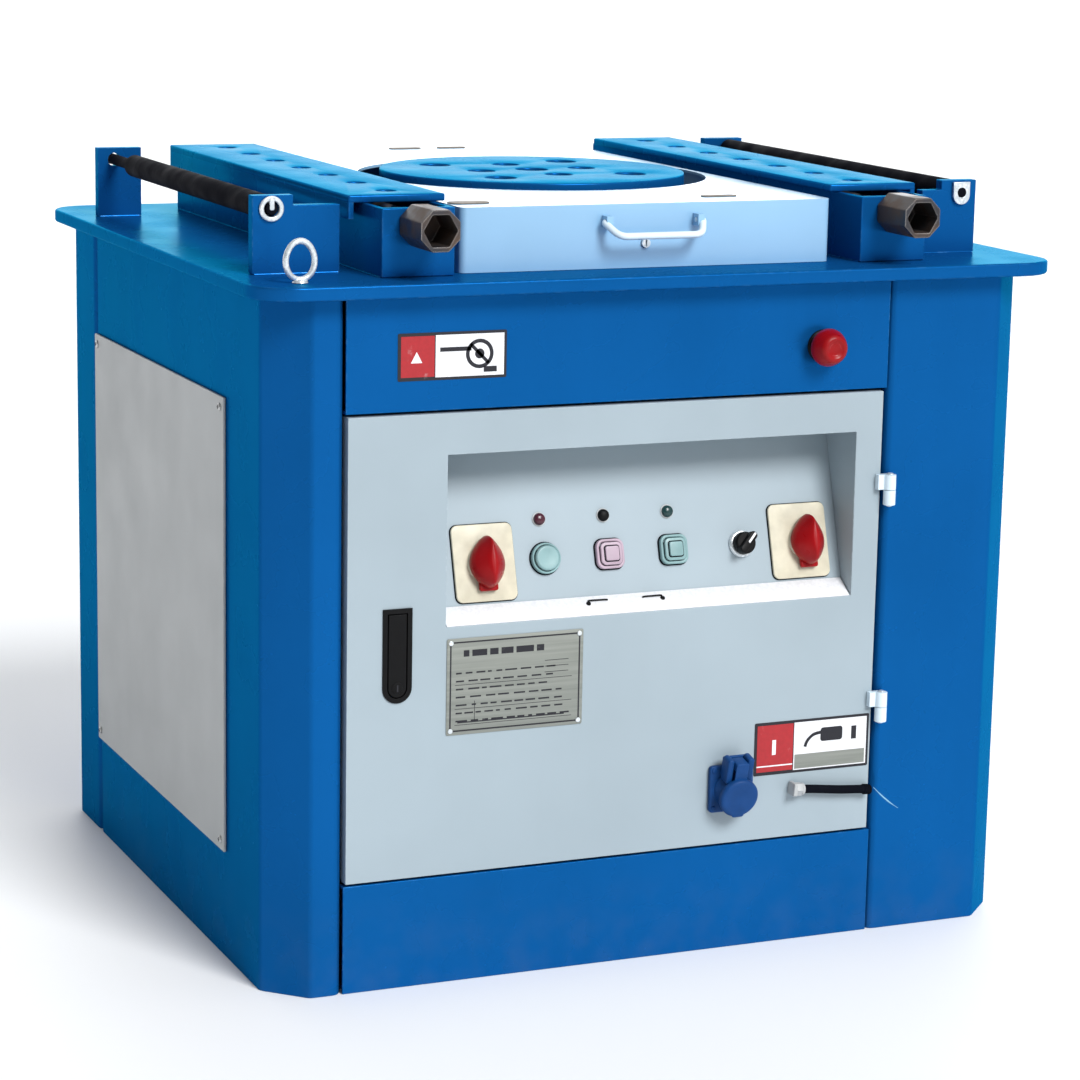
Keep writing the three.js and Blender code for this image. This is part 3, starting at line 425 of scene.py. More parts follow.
def add(name, shapes, body, slot, at=HERE, replaces=None, material=None, sharp=35):
    """A piece from one bmesh or several in millimetres, placed by a matrix in millimetres."""
    mesh = bpy.data.meshes.new(name)
    whole = bmesh.new()
    for shape in shapes if isinstance(shapes, list) else [shapes]:
        part = bpy.data.meshes.new("part")
        shape.to_mesh(part)
        shape.free()
        whole.from_mesh(part)
        bpy.data.meshes.remove(part)
    bmesh.ops.recalc_face_normals(whole, faces=whole.faces)
    whole.transform(Matrix.Scale(MM, 4) @ at)
    whole.to_mesh(mesh)
    whole.free()
    mesh.shade_smooth()
    mesh.set_sharp_from_angle(angle=math.radians(sharp))
    mesh.materials.append(MATERIALS[material or slot])
    piece = placed(name, mesh)
    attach(piece, body)
    if replaces:
        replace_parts(piece, replaces)


def skin(shape, rows):
    """Faces between each ring of vertices and the next. A row may be a single point."""
    for below, above in zip(rows, rows[1:]):
        count = max(len(below), len(above))
        for i in range(count):
            j = (i + 1) % count
            feet = [below[k % len(below)] for k in (i, j)]
            tops = [above[k % len(above)] for k in (j, i)]
            corners = list(dict.fromkeys(feet + tops))
            if len(corners) > 2:
                shape.faces.new(corners)


def loft(rings, closed_ends=True):
    """A skin through rings of the same number of points, first to last."""
    shape = bmesh.new()
    rows = [[shape.verts.new(point) for point in ring] for ring in rings]
    skin(shape, rows)
    if closed_ends:
        shape.faces.new(rows[0][::-1])
        shape.faces.new(rows[-1])
    return shape


def bearings(count):
    """Angles evenly spaced round a circle."""
    return [2 * math.pi * i / count for i in range(count)]


def polar(radius, angle):
    return radius * math.cos(angle), radius * math.sin(angle)


def circle(x, y, radius, count=64):
    return [(x + radius * math.cos(a), y + radius * math.sin(a)) for a in bearings(count)]


def rectangle(x0, x1, y0, y1, corner=0.0, steps=6):
    """A rectangle's outline with its corners rounded."""
    if not corner:
        return [(x0, y0), (x1, y0), (x1, y1), (x0, y1)]
    points = []
    for x, y, start in ((x1, y0, -90), (x1, y1, 0), (x0, y1, 90), (x0, y0, 180)):
        inward_x = x - math.copysign(corner, x - middle((x0, x1)))
        inward_y = y - math.copysign(corner, y - middle((y0, y1)))
        for i in range(steps + 1):
            angle = math.radians(start + 90 * i / steps)
            points.append((inward_x + corner * math.cos(angle), inward_y + corner * math.sin(angle)))
    return points


def about_middle(width, height, corner=0.0, steps=6):
    return rectangle(-width / 2, width / 2, -height / 2, height / 2, corner, steps)


def moved_in(outline, distance, hole):
    """The outline moved into the metal: inwards, or outwards for a hole."""
    sign = -1 if hole else 1
    points = [Vector(point) for point in outline]
    result = []
    for before, here, after in zip(points[-1:] + points[:-1], points, points[1:] + points[:1]):
        along = [(here - before).normalized(), (after - here).normalized()]
        sides = [Vector((-v.y, v.x)) for v in along]
        normal = (sides[0] + sides[1]).normalized()
        result.append(here + normal * sign * distance / max(0.5, normal.dot(sides[0])))
    return result


def slab(outlines, low, high, edge=1.0, steps=3):
    """A plate: the first outline is its rim and the others are holes, all counter-clockwise."""
    shape = bmesh.new()
    arc = [math.radians(90 * i / steps) for i in range(steps + 1)]
    levels = [(edge * (1 - math.sin(a)), low + edge * (1 - math.cos(a))) for a in arc]
    levels += [(edge * (1 - math.cos(a)), high - edge * (1 - math.sin(a))) for a in arc]
    foot, top = [], []
    for number, outline in enumerate(outlines):
        rows = [[shape.verts.new((*point, z)) for point in moved_in(outline, inset, number > 0)]
                for inset, z in levels]
        skin(shape, rows)
        for rim, row in ((foot, rows[0]), (top, rows[-1])):
            rim += [shape.edges.get(pair) for pair in zip(row, row[1:] + row[:1])]
    for rim in (foot, top):
        bmesh.ops.triangle_fill(shape, edges=rim, use_beauty=True)
    return shape


def tile(box, *levels):
    """A plate over a rectangle, given as rectangle() takes it."""
    return slab([rectangle(*box)], *levels)


def rounded(points, radius, steps=4):
    """A polyline of any dimension with its inner corners turned into arcs of about that radius."""
    points = [Vector(point) for point in points]
    result = [points[0]]
    for before, here, after in zip(points, points[1:], points[2:]):
        reach = min(radius, (here - before).length * 0.48, (after - here).length * 0.48)
        start = here + (before - here).normalized() * reach
        end = here + (after - here).normalized() * reach
        for i in range(steps + 1):
            t = i / steps
            result.append(start * (1 - t) ** 2 + here * 2 * t * (1 - t) + end * t * t)
    return result + [points[-1]]


def turned(profile, steps=48, corner=0.6):
    """A turned shape about Z from (radius, z) pairs, rounded at the corners."""
    shape = bmesh.new()
    rows = []
    for radius, z in rounded(profile, corner, 3):
        ring = circle(0, 0, radius, steps) if radius > 1e-6 else [(0, 0)]
        rows.append([shape.verts.new((*point, z)) for point in ring])
    skin(shape, rows)
    return shape


def swept(points, radius, sides=16, closed=False):
    """A round bar along a line. The radius is a number, or a function of the share of the way along."""
    points = [Vector(point) for point in points]
    count = len(points)
    rings = []
    across = None
    for i, here in enumerate(points):
        before = points[i - 1] if i or closed else here
        after = points[(i + 1) % count] if i + 1 < count or closed else here
        along = (after - before).normalized()
        if across is None:
            across = along.orthogonal().normalized()
        across = (across - along * across.dot(along)).normalized()
        other = along.cross(across)
        r = radius(i / (count - 1)) if callable(radius) else radius
        rings.append([here + (across * math.cos(a) + other * math.sin(a)) * r
                      for a in bearings(sides)])
    return loft(rings + rings[:1], closed_ends=False) if closed else loft(rings)


def block(across, along, up, edge=0.6):
    """A box with rounded upright and upper edges."""
    return tile((*across, *along, edge * 1.5, 3), *up, edge, 2)


def moved(shape, matrix):
    shape.transform(matrix)
    return shape


def hexagon(radius):
    return circle(0, 0, radius, 6)


# -------- disc and strips
DISC_HOLES = ((62, 15, 5), (112, 17, 50))  # ring radius, hole radius, bearing of the first of four
DISC_SOCKET, DISC_THICKNESS = 18, 22
STRIP_HOLES, STRIP_PITCH, STRIP_HOLE, STRIP_ROW = 7, 86, 10, 10
STRIP_FLAT = 7.6  # the thickness of its flat
STRIP_LIP, STRIP_LIP_FOOT = 6, 768
STRIP_NUT_FRONT, STRIP_NUT_BORE = 46, 13.6


def work_disc():
    (_, radius), _, (foot, top) = span("work_disc")
    under = top - DISC_THICKNESS
    holes = [circle(0, 0, DISC_SOCKET)]
    for ring, hole, start in DISC_HOLES:
        for angle in (math.radians(start + 90 * step) for step in range(4)):
            holes.append(circle(*polar(ring, angle), hole, 48))
    plate = slab([circle(0, 0, radius, 144), *holes], under, top, 1.6)
    boss = turned([(0, foot), (44, foot), (44, under + 0.5), (DISC_SOCKET, under + 0.5),
                   (DISC_SOCKET, foot + 18), (0, foot + 18)], 64)
    add("turntable_disc", [plate, boss], "turntable", "machine_blue", replaces="work_disc")


def gap_shade_ring():
    """The fixed black ring below the disc: painted shade, standing for the shaded gap round the disc."""
    foot = span("work_table")[2][1] + 0.5
    seat = span("work_disc")[2][1] - 26
    profile = [(150, foot), (188, foot), (188, seat - 6), (182, seat), (150, seat), (150, foot)]
    add("turntable_gap_shade_ring", turned(profile, 96, 1.5), "frame", "black_rubber")


def pin_strip(side):
    """The strip's flat with its pin holes, the lip on its outer side, and the nut under it."""
    name = f"{side}_pin_strip"
    (x0, x1), (y0, y1), (low, top) = span(name)
    x, _, z = pivot(f"{side}_screw_turn")
    under = top - STRIP_FLAT
    first = STRIP_ROW - (STRIP_HOLES - 1) / 2 * STRIP_PITCH
    holes = [circle(x, first + i * STRIP_PITCH, STRIP_HOLE, 40) for i in range(STRIP_HOLES)]
    flat = slab([rectangle(x0, x1, y0, y1, 2.5, 3), *holes], under, top, 1.8)
    lip_x = (x0 + 0.4, x0 + STRIP_LIP) if side == "left" else (x1 - STRIP_LIP, x1 - 0.4)
    lip = block(lip_x, (y0 + 0.5, y1 - 0.5), (STRIP_LIP_FOOT, under + 3))
    outlines = [rectangle(-25, 25, low - z, under + 0.5 - z, 1, 2), circle(0, 0, STRIP_NUT_BORE, 40)]
    nut = moved(slab(outlines, 0, 30, 0.8), facing_front(x, z, STRIP_NUT_FRONT))
    add(f"{side}_strip_plate", [flat, lip, nut], f"{side}_strip", "machine_blue", replaces=name)


# -------- rollers, eyes and weld beads
ROLLER_REAR = {"left": 190, "right": 269}  # where each drum ends, short of its rear bracket
BEAD_RADIUS, BEAD_STEP = 0.9, 1.4


def support_roller(side):
    """A black drum between its thinner journals."""
    name = f"{side}_support_roller"
    x, _, z = centre(name)
    _, (y0, y1), (z0, z1) = span(name)
    radius = (z1 - z0) / 2
    start, end, length = 18, ROLLER_REAR[side] - y0, y1 - y0
    profile = [(0, 0), (5, 0), (6, 1), (6, start), (radius - 2, start), (radius, start + 2),
               (radius, end - 2), (radius - 2, end), (6, end), (6, length - 1), (5, length), (0, length)]
    add(f"{side}_roller_bar", turned(profile, 64), f"{side}_roller", "black_rubber", facing_rear(x, z, y0),
        replaces=name)


def left_keeper():
    """A ring with a tongue across it."""
    profile = [(7.8, 0), (11.8, 0), (12.6, 1), (12.6, 2.4), (11.8, 3.4), (8.6, 3.4), (7.8, 2.6), (7.8, 0)]
    return [turned(profile, 48, 0.8), tile((-2.6, 2.6, -1.5, 12.5, 2, 4), 0, 4, 0.8)]


def right_keeper():
    """A plate, round at its foot, with a slot in it."""
    arc = [math.radians(180 + 15 * i) for i in range(13)]
    outline = [*((10 * math.cos(a), -3 + 10 * math.sin(a)) for a in arc), (10, 11), (-10, 11)]
    return slab([outline, rectangle(-3.6, 3.6, -4.5, 4, 1, 3)], 0, 3.4, 0.7)


def roller_keepers():
    """The pale keepers at the front ends of the rollers, and the bearing collars behind them."""
    for side, keeper in (("left", left_keeper()), ("right", right_keeper())):
        x, _, z = pivot(f"{side}_roller_spin")
        front, rear = span(f"{side}_front_roller_bracket")[1]
        add(f"{side}_roller_keeper", keeper, "frame", "zinc", facing_front(x, z, front - 0.3))
        collar = turned([(7.2, 0.2), (11.5, 0.2), (11.5, 1.6), (7.2, 1.6), (7.2, 0.2)], 40, 0.4)
        add(f"{side}_bearing_collar", collar, "frame", "cut_steel", facing_rear(x, z, rear))


def lifting_eye(name):
    """A forged oval ring welded to the deck."""
    (x0, x1), (y0, y1), (z0, z1) = span(name)
    x, y, z = centre(name)
    rod = (y1 - y0) / 2
    half, rise = (x1 - x0) / 2 - rod, (z1 - z0) / 2 - rod
    loop = [(half * math.cos(a) * (1 - 0.06 * math.sin(a)), 0, z + rise * math.sin(a))
            for a in bearings(56)]
    weld = turned([(0, z0), (8, z0), (6.5, z0 + 3), (0, z0 + 4.5)], 32)
    add(f"{name}_ring", [swept(loop, rod, 20, closed=True), weld], "frame", "zinc", shift(x, y, 0),
        replaces=name)


def bead(start, end):
    """A weld bead: a thin bar whose radius ripples along it."""
    start, end = Vector(start), Vector(end)
    steps = max(2, round((end - start).length / BEAD_STEP))
    line = [start.lerp(end, i / steps) for i in range(steps + 1)]
    length = len(line) * BEAD_STEP
    return swept(line, lambda share: BEAD_RADIUS * (1 + 0.16 * math.sin(share * length * 2.2)), 8)


def weld_beads():
    """Beads along the feet of the roller brackets and of the guide channels."""
    deck = span("work_table")[2][1] + 0.4
    beads = []
    for side in SIDES:
        for end in ("front", "rear"):
            (x0, x1), rims, _ = span(f"{side}_{end}_roller_bracket")
            beads += [bead((x0 + 2, y, deck), (x1 - 2, y, deck)) for y in rims]
        rims, (y0, y1), _ = span(f"{side}_guide_channel")
        beads += [bead((x, y0 + 4, deck), (x, y1 - 4, deck)) for x in rims]
    add("deck_weld_beads", beads, "frame", "machine_blue")


# -------- cover furniture
PLUGS = (  # x, y, length, width
    (-189, -284, 44, 22), (92, -276, 40, 12), (-22, 334, 40, 12), (37, 334, 36, 10))
HANDLE_ROD = 3.6


def cover_plugs():
    """The four flat oval plugs in the top of the turntable cover."""
    top = span("turntable_cover")[2][1]
    plugs = []
    for x, y, length, width in PLUGS:
        outline = about_middle(length, width, width / 2 - 0.1, 8)
        plugs.append(moved(slab([outline], 0.05, 1.2, 0.5), shift(x, y, top)))
    add("cover_plugs", plugs, "cover", "stud_bronze")


def cover_handle():
    """The drop handle: two hooked ends in the lugs and a bar with soft corners between them."""
    (x0, x1), (y0, _), (z0, _) = span("cover_handle")
    _, y, z = pivot("cover_handle_swing")
    front, low = y0 + HANDLE_ROD, z0 + HANDLE_ROD
    path = [(x0 + 12, y, z), (x0 + HANDLE_ROD, y, z), (x0 + 13, front, low),
            (x1 - 13, front, low), (x1 - HANDLE_ROD, y, z), (x1 - 12, y, z)]

    def radius(share):
        """Full but for its two ends, which taper into the lugs."""
        return min(HANDLE_ROD, 2.3 + 1.3 * min(share, 1 - share) / 0.16)

    add("cover_drop_handle", swept(rounded(path, 9, 6), radius), "cover_handle", "cover_white",
        replaces="cover_handle", material="bright_white", sharp=60)


# -------- controls on the inclined fascia
FASCIA = facing(pivot("left_knob_turn"), JOINTS["left_knob_turn"]["axis"], (1, 0, 0))
BUTTONS = ("left_push_button", "middle_push_button", "right_push_button")
LAMP_RISE = 40.5  # the lamps' row above the buttons' row
PLATE_WIDTH, PLATE_HEIGHT = 66, 78
KNOB_LEVELS = ((5.6, 17.0, 22.0), (9, 18.6, 25.5), (14, 17.8, 26.4), (19, 14.6, 25.6), (24, 10.4, 24.0),
               (28, 6.4, 21.6), (30.6, 3.8, 18.0), (31.4, 2.2, 14.5))  # height, half width, half length
SWITCH_FRONT = -14.5  # where the switch bodies start, behind the fascia


def across(joint_or_node):
    """How far right of the left knob a control stands, on the fascia."""
    place = pivot(joint_or_node) if joint_or_node in JOINTS else centre(joint_or_node)
    return place[0] - pivot("left_knob_turn")[0]


def on_fascia(x, y=0.0):
    return FASCIA @ shift(x, y, 0)


def switch_plates():
    for side, offset in (("left", 0), ("right", -6)):
        at = on_fascia(across(f"{side}_knob_turn") + offset)
        plate = slab([about_middle(PLATE_WIDTH, PLATE_HEIGHT, 7), circle(-offset, 0, 7, 32)], 0.1, 3.4, 1.1)
        collar = turned([(7.4, 3.2), (19, 3.2), (17.5, 5.2), (7.4, 5.2), (7.4, 3.2)], 48, 0.5)
        add(f"{side}_switch_plate", [plate, moved(collar, shift(-offset, 0, 0))], "door", "cream_plastic", at)
        rims = [about_middle(PLATE_WIDTH + 1.8, PLATE_HEIGHT + 1.8, 7.6),
                about_middle(PLATE_WIDTH - 8, PLATE_HEIGHT - 8, 4)]
        add(f"{side}_switch_gasket", slab(rims, 0.0, 0.7, 0.2, 1), "door", "black_rubber", at)


def rotary_knob(side):
    """A leaf-shaped grip that narrows to a ridge, on a round foot."""
    rings = []
    for z, half, reach in KNOB_LEVELS:
        ring = []
        for angle in bearings(48):
            up = math.sin(angle)
            squeeze = 1 - 0.30 * up * up - 0.10 * up
            ring.append((half * math.cos(angle) * squeeze, reach * up, z))
        rings.append(ring)
    stem = turned([(0, -14), (5, -14), (5, 6), (0, 6)], 32)
    foot = tile((-10, 10, -29, -13, 2.5, 4), 5.6, 10.5, 1.2)
    add(f"{side}_switch_knob", [loft(rings), stem, foot], f"{side}_knob", "red_plastic",
        on_fascia(across(f"{side}_knob_turn")), replaces=f"{side}_rotary_knob", sharp=50)


def push_button(side, slot, square):
    """A bezel on the fascia and the cap that moves inside it."""
    name = f"{side}_push_button"
    at = on_fascia(across(name))
    if square:
        sizes = ((30.4, 8), (24.4, 6), (32.8, 9))
        rim, bore, washer = (about_middle(size, size, corner, 8) for size, corner in sizes)
    else:
        rim, bore, washer = (circle(0, 0, radius) for radius in (15.8, 13.4, 17))
    add(f"{side}_button_bezel", slab([rim, bore], 0.1, 5.6, 1.2), "door", slot, at)
    add(f"{side}_button_gasket", slab([washer, bore], 0.0, 0.9, 0.3, 2), "door", "black_rubber", at)
    stem = turned([(0, -10), (9, -10), (9, 5.5), (0, 5.5)], 32)
    if square:
        cap = slab([about_middle(23.2, 23.2, 5.5, 8)], 4.8, 8.2, 0.9)
        caps = [cap, slab([about_middle(14.8, 14.8, 2.2, 4)], 7.6, 10.6, 0.8), stem]
        groove = slab([about_middle(17.2, 17.2, 3, 4), about_middle(15, 15, 2.2, 4)], 8.0, 8.6, 0.2, 1)
        add(f"{side}_button_groove", groove, f"{side}_button", "black_rubber", at)
    else:
        caps = [turned([(0, 4.8), (12.8, 4.8), (12.8, 8.4), (11.4, 9.6), (6, 9.2), (0, 8.9)], 64, 0.8), stem]
    add(f"{side}_button_cap", caps, f"{side}_button", slot, at, replaces=name)


def selector_switch():
    rise = pivot("selector_turn")[2] - pivot("left_knob_turn")[2]
    at = on_fascia(across("selector_turn"), rise)
    bezel = turned([(9.6, 0.1), (14.5, 0.1), (14.5, 1.8), (12.8, 3.8), (9.6, 3.8), (9.6, 0.1)], 56, 0.6)
    add("selector_bezel", bezel, "door", "zinc", at)
    lean = rotation(-42, "Z")
    barrel = turned([(0, -14), (8, -14), (8, 3), (11.6, 4.2), (11.6, 11), (10, 13), (0, 13)], 48, 0.8)
    grip = moved(tile((-4.2, 4.2, -13, 13, 3.6, 6), 11.5, 20, 1.2), lean)
    add("selector_grip", [barrel, grip], "selector", "black_plastic", at, replaces="selector_knob")
    mark = moved(tile((-1.2, 1.2, -1, 12, 1, 3), 19.8, 20.6, 0.3, 2), lean)
    add("selector_mark", mark, "selector", "label_white", at)


def pilot_lamps():
    for number, (button, slot) in enumerate(zip(BUTTONS, ("lamp_red", "black_plastic", "lamp_green")), 1):
        at = on_fascia(across(button) - 2.5, LAMP_RISE - number * 0.3)
        dome = turned([(0, 0.1), (6.2, 0.1), (6.2, 2.6), (5.2, 4.6), (2.8, 5.8), (0, 6.1)], 40, 1.2)
        add(f"pilot_lamp_{number}", dome, "door", slot, at)
        ring = turned([(6.3, 0.1), (7.4, 0.1), (7.3, 0.7), (6.3, 1.0), (6.3, 0.1)], 40, 0.2)
        add(f"pilot_lamp_ring_{number}", ring, "door", "side_grey", at)


def switch_body(control, width, height, rear, edge=1.0):
    """The box behind the fascia that one control works on."""
    box = block((-width / 2, width / 2), (-height / 2, height / 2), (rear, SWITCH_FRONT), edge)
    return moved(box, shift(across(control), 0, 0))


def fascia_backs():
    """What the controls have behind the fascia: switch bodies and a short loom of wires."""
    bodies = [switch_body(f"{side}_knob_turn", 48, 54, -38, 1.5) for side in SIDES]
    bodies += [switch_body(button, 26, 32, -36) for button in BUTTONS]
    bodies.append(switch_body("selector_turn", 24, 30, -34))
    add("fascia_switch_bodies", bodies, "door", "black_plastic", FASCIA)
    draw = random.Random(7)
    wires = []
    for index in range(8):
        start = 10 + index * 44
        sag = -22 - 5 * draw.random()
        end = min(350, start + 60 + 30 * draw.random())
        path = [(start, sag, -33), (start + 4, sag - 6, -42), (start + 20, sag - 10, -45),
                (end - 16, sag - 9, -45), (end - 3, sag - 5, -42), (end, sag, -33)]
        wires.append(swept(rounded(path, 9, 5), 1.4, 8))
    add("fascia_wires", wires, "door", "label_red", FASCIA)


# -------- plates and labels on the front
RATING_PLATE = (-239, -91, 259, 358)  # each box is left, right, low, high
BENDING_LABEL = (-293, -179, 618, 665)
POWER_LABEL = (107, 242, 184, 241)
PLATE_MARGIN = 3.4
RED_SHARE = 0.34  # how much of a label's width its red block takes


def on_panel(box, panel):
    """The frame at the middle of a box on a panel's front, and the box's half sizes."""
    x0, x1, z0, z1 = box
    at = facing_front(middle((x0, x1)), middle((z0, z1)), span(panel)[1][0])
    return at, (x1 - x0) / 2, (z1 - z0) / 2


def ink(outlines, low, high):
    """A thin raised print."""
    return slab(outlines, low, high, 0.05, 1)


def rating_plate():
    """A lacquered plate with a ruled table. The marks stand for text without being any."""
    at, w, h = on_panel(RATING_PLATE, "door_shell")
    add("rating_plate", tile((-w, w, -h, h, 2, 4), 0.05, 0.9, 0.25, 2), "door", "nameplate", at)
    wide, tall = 2 * (w - PLATE_MARGIN), 2 * (h - PLATE_MARGIN)
    rule = ink([about_middle(wide, tall, 1, 2), about_middle(wide - 3, tall - 3, 0.6, 2)], 0.85, 1.05)
    marks = []
    draw = random.Random(3)
    for row in range(7):
        y = 14 - row * 8.2
        if row in (1, 4, 6):
            marks.append((-w + 9, w - 12, y - 4.4, y - 3.9))
        x = -w + 10
        while x < (w - 40 if row < 3 else w - 22):
            length = 4 + 9 * draw.random()
            marks.append((x, x + length, y - 1.1, y + 0.5))
            x += length + 2.5 + 3 * draw.random()
    x = -w + 18
    for length in (6, 16, 9, 13, 19, 8):  # a heading of plain strokes
        marks.append((x, x + length, h - 19, h - 12.5))
        x += length + 3.2
    marks += [(w - 42, w - 16, y, y + 0.6) for y in (h - 30, h - 36, h - 42)]
    marks += [(-w + 12, w - 20, -h + 12, -h + 13.2), (-w + 30, -w + 30.6, -h + 13, -h + 34)]
    strokes = [tile(mark, 0.85, 1.05, 0.2 / 3, 1) for mark in marks]
    add("rating_plate_marks", [rule, *strokes], "door", "label_black", at)
    rivets = [moved(turned([(0, 0.8), (2.6, 0.8), (2.4, 1.8), (0, 2.1)], 24, 0.3), shift(x, y, 0))
              for x in (-w + 4.4, w - 4.4) for y in (-h + 4.4, h - 4.4)]
    add("rating_plate_rivets", rivets, "door", "zinc", at)


def caution_label(name, box, panel, body, drawing):
    """A framed label: a red block, and a white block with a plain drawing."""
    at, w, h = on_panel(box, panel)
    split = -w + 2 * w * RED_SHARE
    backing = tile((-w, w, -h, h, 1.5, 3), 0.05, 0.45, 0.1, 1)
    red = ink([rectangle(-w + 3.2, split - 0.6, -h + 3.6, h - 3.2)], 0.4, 0.62)
    white = ink([rectangle(split + 0.4, w - 2.8, -h + 2.8, h - 2.8)], 0.4, 0.62)
    blacks, whites = drawing(split, w, h)
    add(f"{name}_backing", backing, body, "label_black", at)
    add(f"{name}_red", red, body, "label_red", at)
    add(f"{name}_white", white, body, "label_white", at)
    add(f"{name}_drawing", blacks, body, "label_black", at)
    add(f"{name}_mark", whites, body, "label_white", at)


def ring_drawing(split, w, h):
    """A bar that runs into a crossed ring."""
    x = split + (w - split) * 0.62
    radius = h * 0.62
    ring = ink([circle(x, 1, radius, 48), circle(x, 1, radius * 0.74, 48)], 0.6, 0.8)
    slash = moved(ink([about_middle(radius * 1.9, 3.4)], 0.6, 0.8), shift(x, 1, 0) @ rotation(-45, "Z"))
    hub = ink([circle(x, 1, radius * 0.34, 32)], 0.6, 0.8)
    arm = ink([rectangle(split + 5, x - radius * 0.6, h * 0.18, h * 0.36)], 0.6, 0.8)
    foot = ink([rectangle(x + radius * 0.3, x + radius * 1.25, -h * 0.74, -h * 0.5)], 0.6, 0.8)
    cx = (split - w) / 2
    mark = ink([[(cx - 6, -6), (cx + 6, -6), (cx, 5)]], 0.6, 0.75)
    return [ring, slash, hub, arm, foot], [mark]


def plug_drawing(split, w, h):
    """A plug-like block with a lead, and a pin beside it."""
    x = split + (w - split) * 0.50
    body = ink([rectangle(x - 13, x + 13, h * 0.10, h * 0.62, 3, 4)], 0.6, 0.8)
    pin = ink([rectangle(w - 21, w - 15, h * 0.08, h * 0.58)], 0.6, 0.8)
    path = [(x - reach, h * rise, 6.7) for reach, rise in ((12, 0.45), (22, 0.40), (29, 0.16), (31, -0.05))]
    lead = moved(swept(rounded(path, 8, 5), 1.8, 10), Matrix.Diagonal((1, 1, 0.1, 1)))
    cx = (split - w) / 2
    mark = ink([rectangle(cx - 2.2, cx + 2.2, -7, 9)], 0.6, 0.75)
    base = ink([rectangle(-w + 3.2, split - 0.8, -h + 9, -h + 10.4)], 0.6, 0.75)
    return [body, pin, lead], [mark, base]


def labels():
    caution_label("bending_label", BENDING_LABEL, "front_upper_panel", "frame", ring_drawing)
    caution_label("power_label", POWER_LABEL, "door_shell", "door", plug_drawing)
    at, _, _ = on_panel(POWER_LABEL, "door_shell")
    add("power_label_band", ink([rectangle(-20, 63, -24.5, -9)], 0.6, 0.75), "door", "nameplate", at)


# -------- sill, latch, hinges, stop and inlet
SILL_SLOPE = math.atan2(15, 22.3)
SILL_Y, SILL_Z = -355.8, 377.5  # the middle of the slope
SILL = facing((0, SILL_Y, SILL_Z), (0, -math.sin(SILL_SLOPE), math.cos(SILL_SLOPE)), (1, 0, 0))
INLET_X, INLET_Z, INLET_LEAN = 79, 176, 14


def sill_painted_light():
    """A strip of bright white on the recess's sloping sill: painted light, for the sill's face where it
    catches the light.
    """
    painted_light_strip = tile((-239, 213, -13.2, 13.0, 1, 2), 0.05, 0.9, 0.3, 2)
    add("sill_painted_light", painted_light_strip, "door", "label_white", SILL)


def sill_clips():
    """Two small black spring clips on the sill under the fascia."""
    clips = []
    for x, sign in ((-69, 1), (-8, -1)):
        path = [(-11 * sign, 0, 0.8), (-9 * sign, 0, 1.6), (8 * sign, 0, 1.4), (11 * sign, 0, 0.8)]
        clips.append(moved(swept(rounded(path, 2), 0.9, 8), shift(x, 0, 0)))
        head = turned([(0, 0), (2.6, 0), (2.2, 1.4), (0, 1.8)], 20, 0.3)
        clips.append(moved(head, shift(x - 11 * sign, -3, 0)))
    add("sill_clips", clips, "door", "black_plastic", SILL @ shift(0, 5.7, 0.9))


def latch_details():
    """The lock cylinder at the foot of the latch handle, and its key slot."""
    (x0, x1), (y0, _), (z0, _) = span("door_latch_handle")
    half = (x1 - x0) / 2
    at = facing_front(middle((x0, x1)), z0, y0) @ shift(0, half, 0)
    cylinder = turned([(0, -0.6), (half * 0.62, -0.6), (half * 0.62, 0.5), (0, 0.7)], 40, 0.3)
    slot = ink([rectangle(-0.8, 0.8, -3.4, 3.4)], 0.6, 0.85)
    add("latch_lock_cylinder", cylinder, "latch_handle", "black_plastic", at)
    add("latch_key_slot", slot, "latch_handle", "label_black", at)


def hinge_pins():
    x, y, _ = pivot("door_swing")
    cap = [(0, 0), (3.6, 0), (3.6, 0.9), (2.2, 1.8), (0, 2.0)]
    for name in ("upper", "lower"):
        low = span(f"{name}_hinge_fixed_half")[2][0]
        high = span(f"{name}_hinge_door_half")[2][1]
        down = shift(x, y, low - 0.05) @ rotation(180, "X")
        add(f"{name}_hinge_pin_top", turned(cap, 32, 0.3), "door", "zinc", shift(x, y, high + 0.05))
        add(f"{name}_hinge_pin_foot", turned(cap, 32, 0.3), "frame", "zinc", down)


def emergency_stop():
    """A mushroom head with three turn arrows, over its collar."""
    (x0, x1), (y0, _), _ = span("emergency_stop")
    x, _, z = centre("emergency_stop")
    radius = (x1 - x0) / 2
    face = span("front_upper_panel")[1][0]
    reach = face - y0
    at = facing_front(x, z, face)
    head = turned([(0, -14), (9.5, -14), (9.5, 8), (radius - 4, 8), (radius - 0.6, 10.5), (radius, 15),
                   (radius - 1.4, 20), (radius - 5.5, reach - 2.5), (radius - 9, reach - 0.4),
                   (radius - 11.5, reach - 1.6), (5, reach - 2.6), (0, reach - 2.8)], 72, 2.2)
    add("stop_button_head", head, "emergency_stop", "red_plastic", at, replaces="emergency_stop")
    arrows = []
    for index in range(3):
        arc = [math.radians(120 * index + 8 * step) for step in range(8)]
        arrows.append(swept([(*polar(6.6, a), reach - 2.5) for a in arc], 0.5, 8))
    add("stop_button_arrows", arrows, "emergency_stop", "label_red", at)
    collar = turned([(12.2, 0.1), (17, 0.1), (16.4, 1.6), (14.6, 2.6), (12.2, 2.6), (12.2, 0.1)], 56, 0.5)
    add("stop_button_collar", collar, "frame", "black_plastic", at)


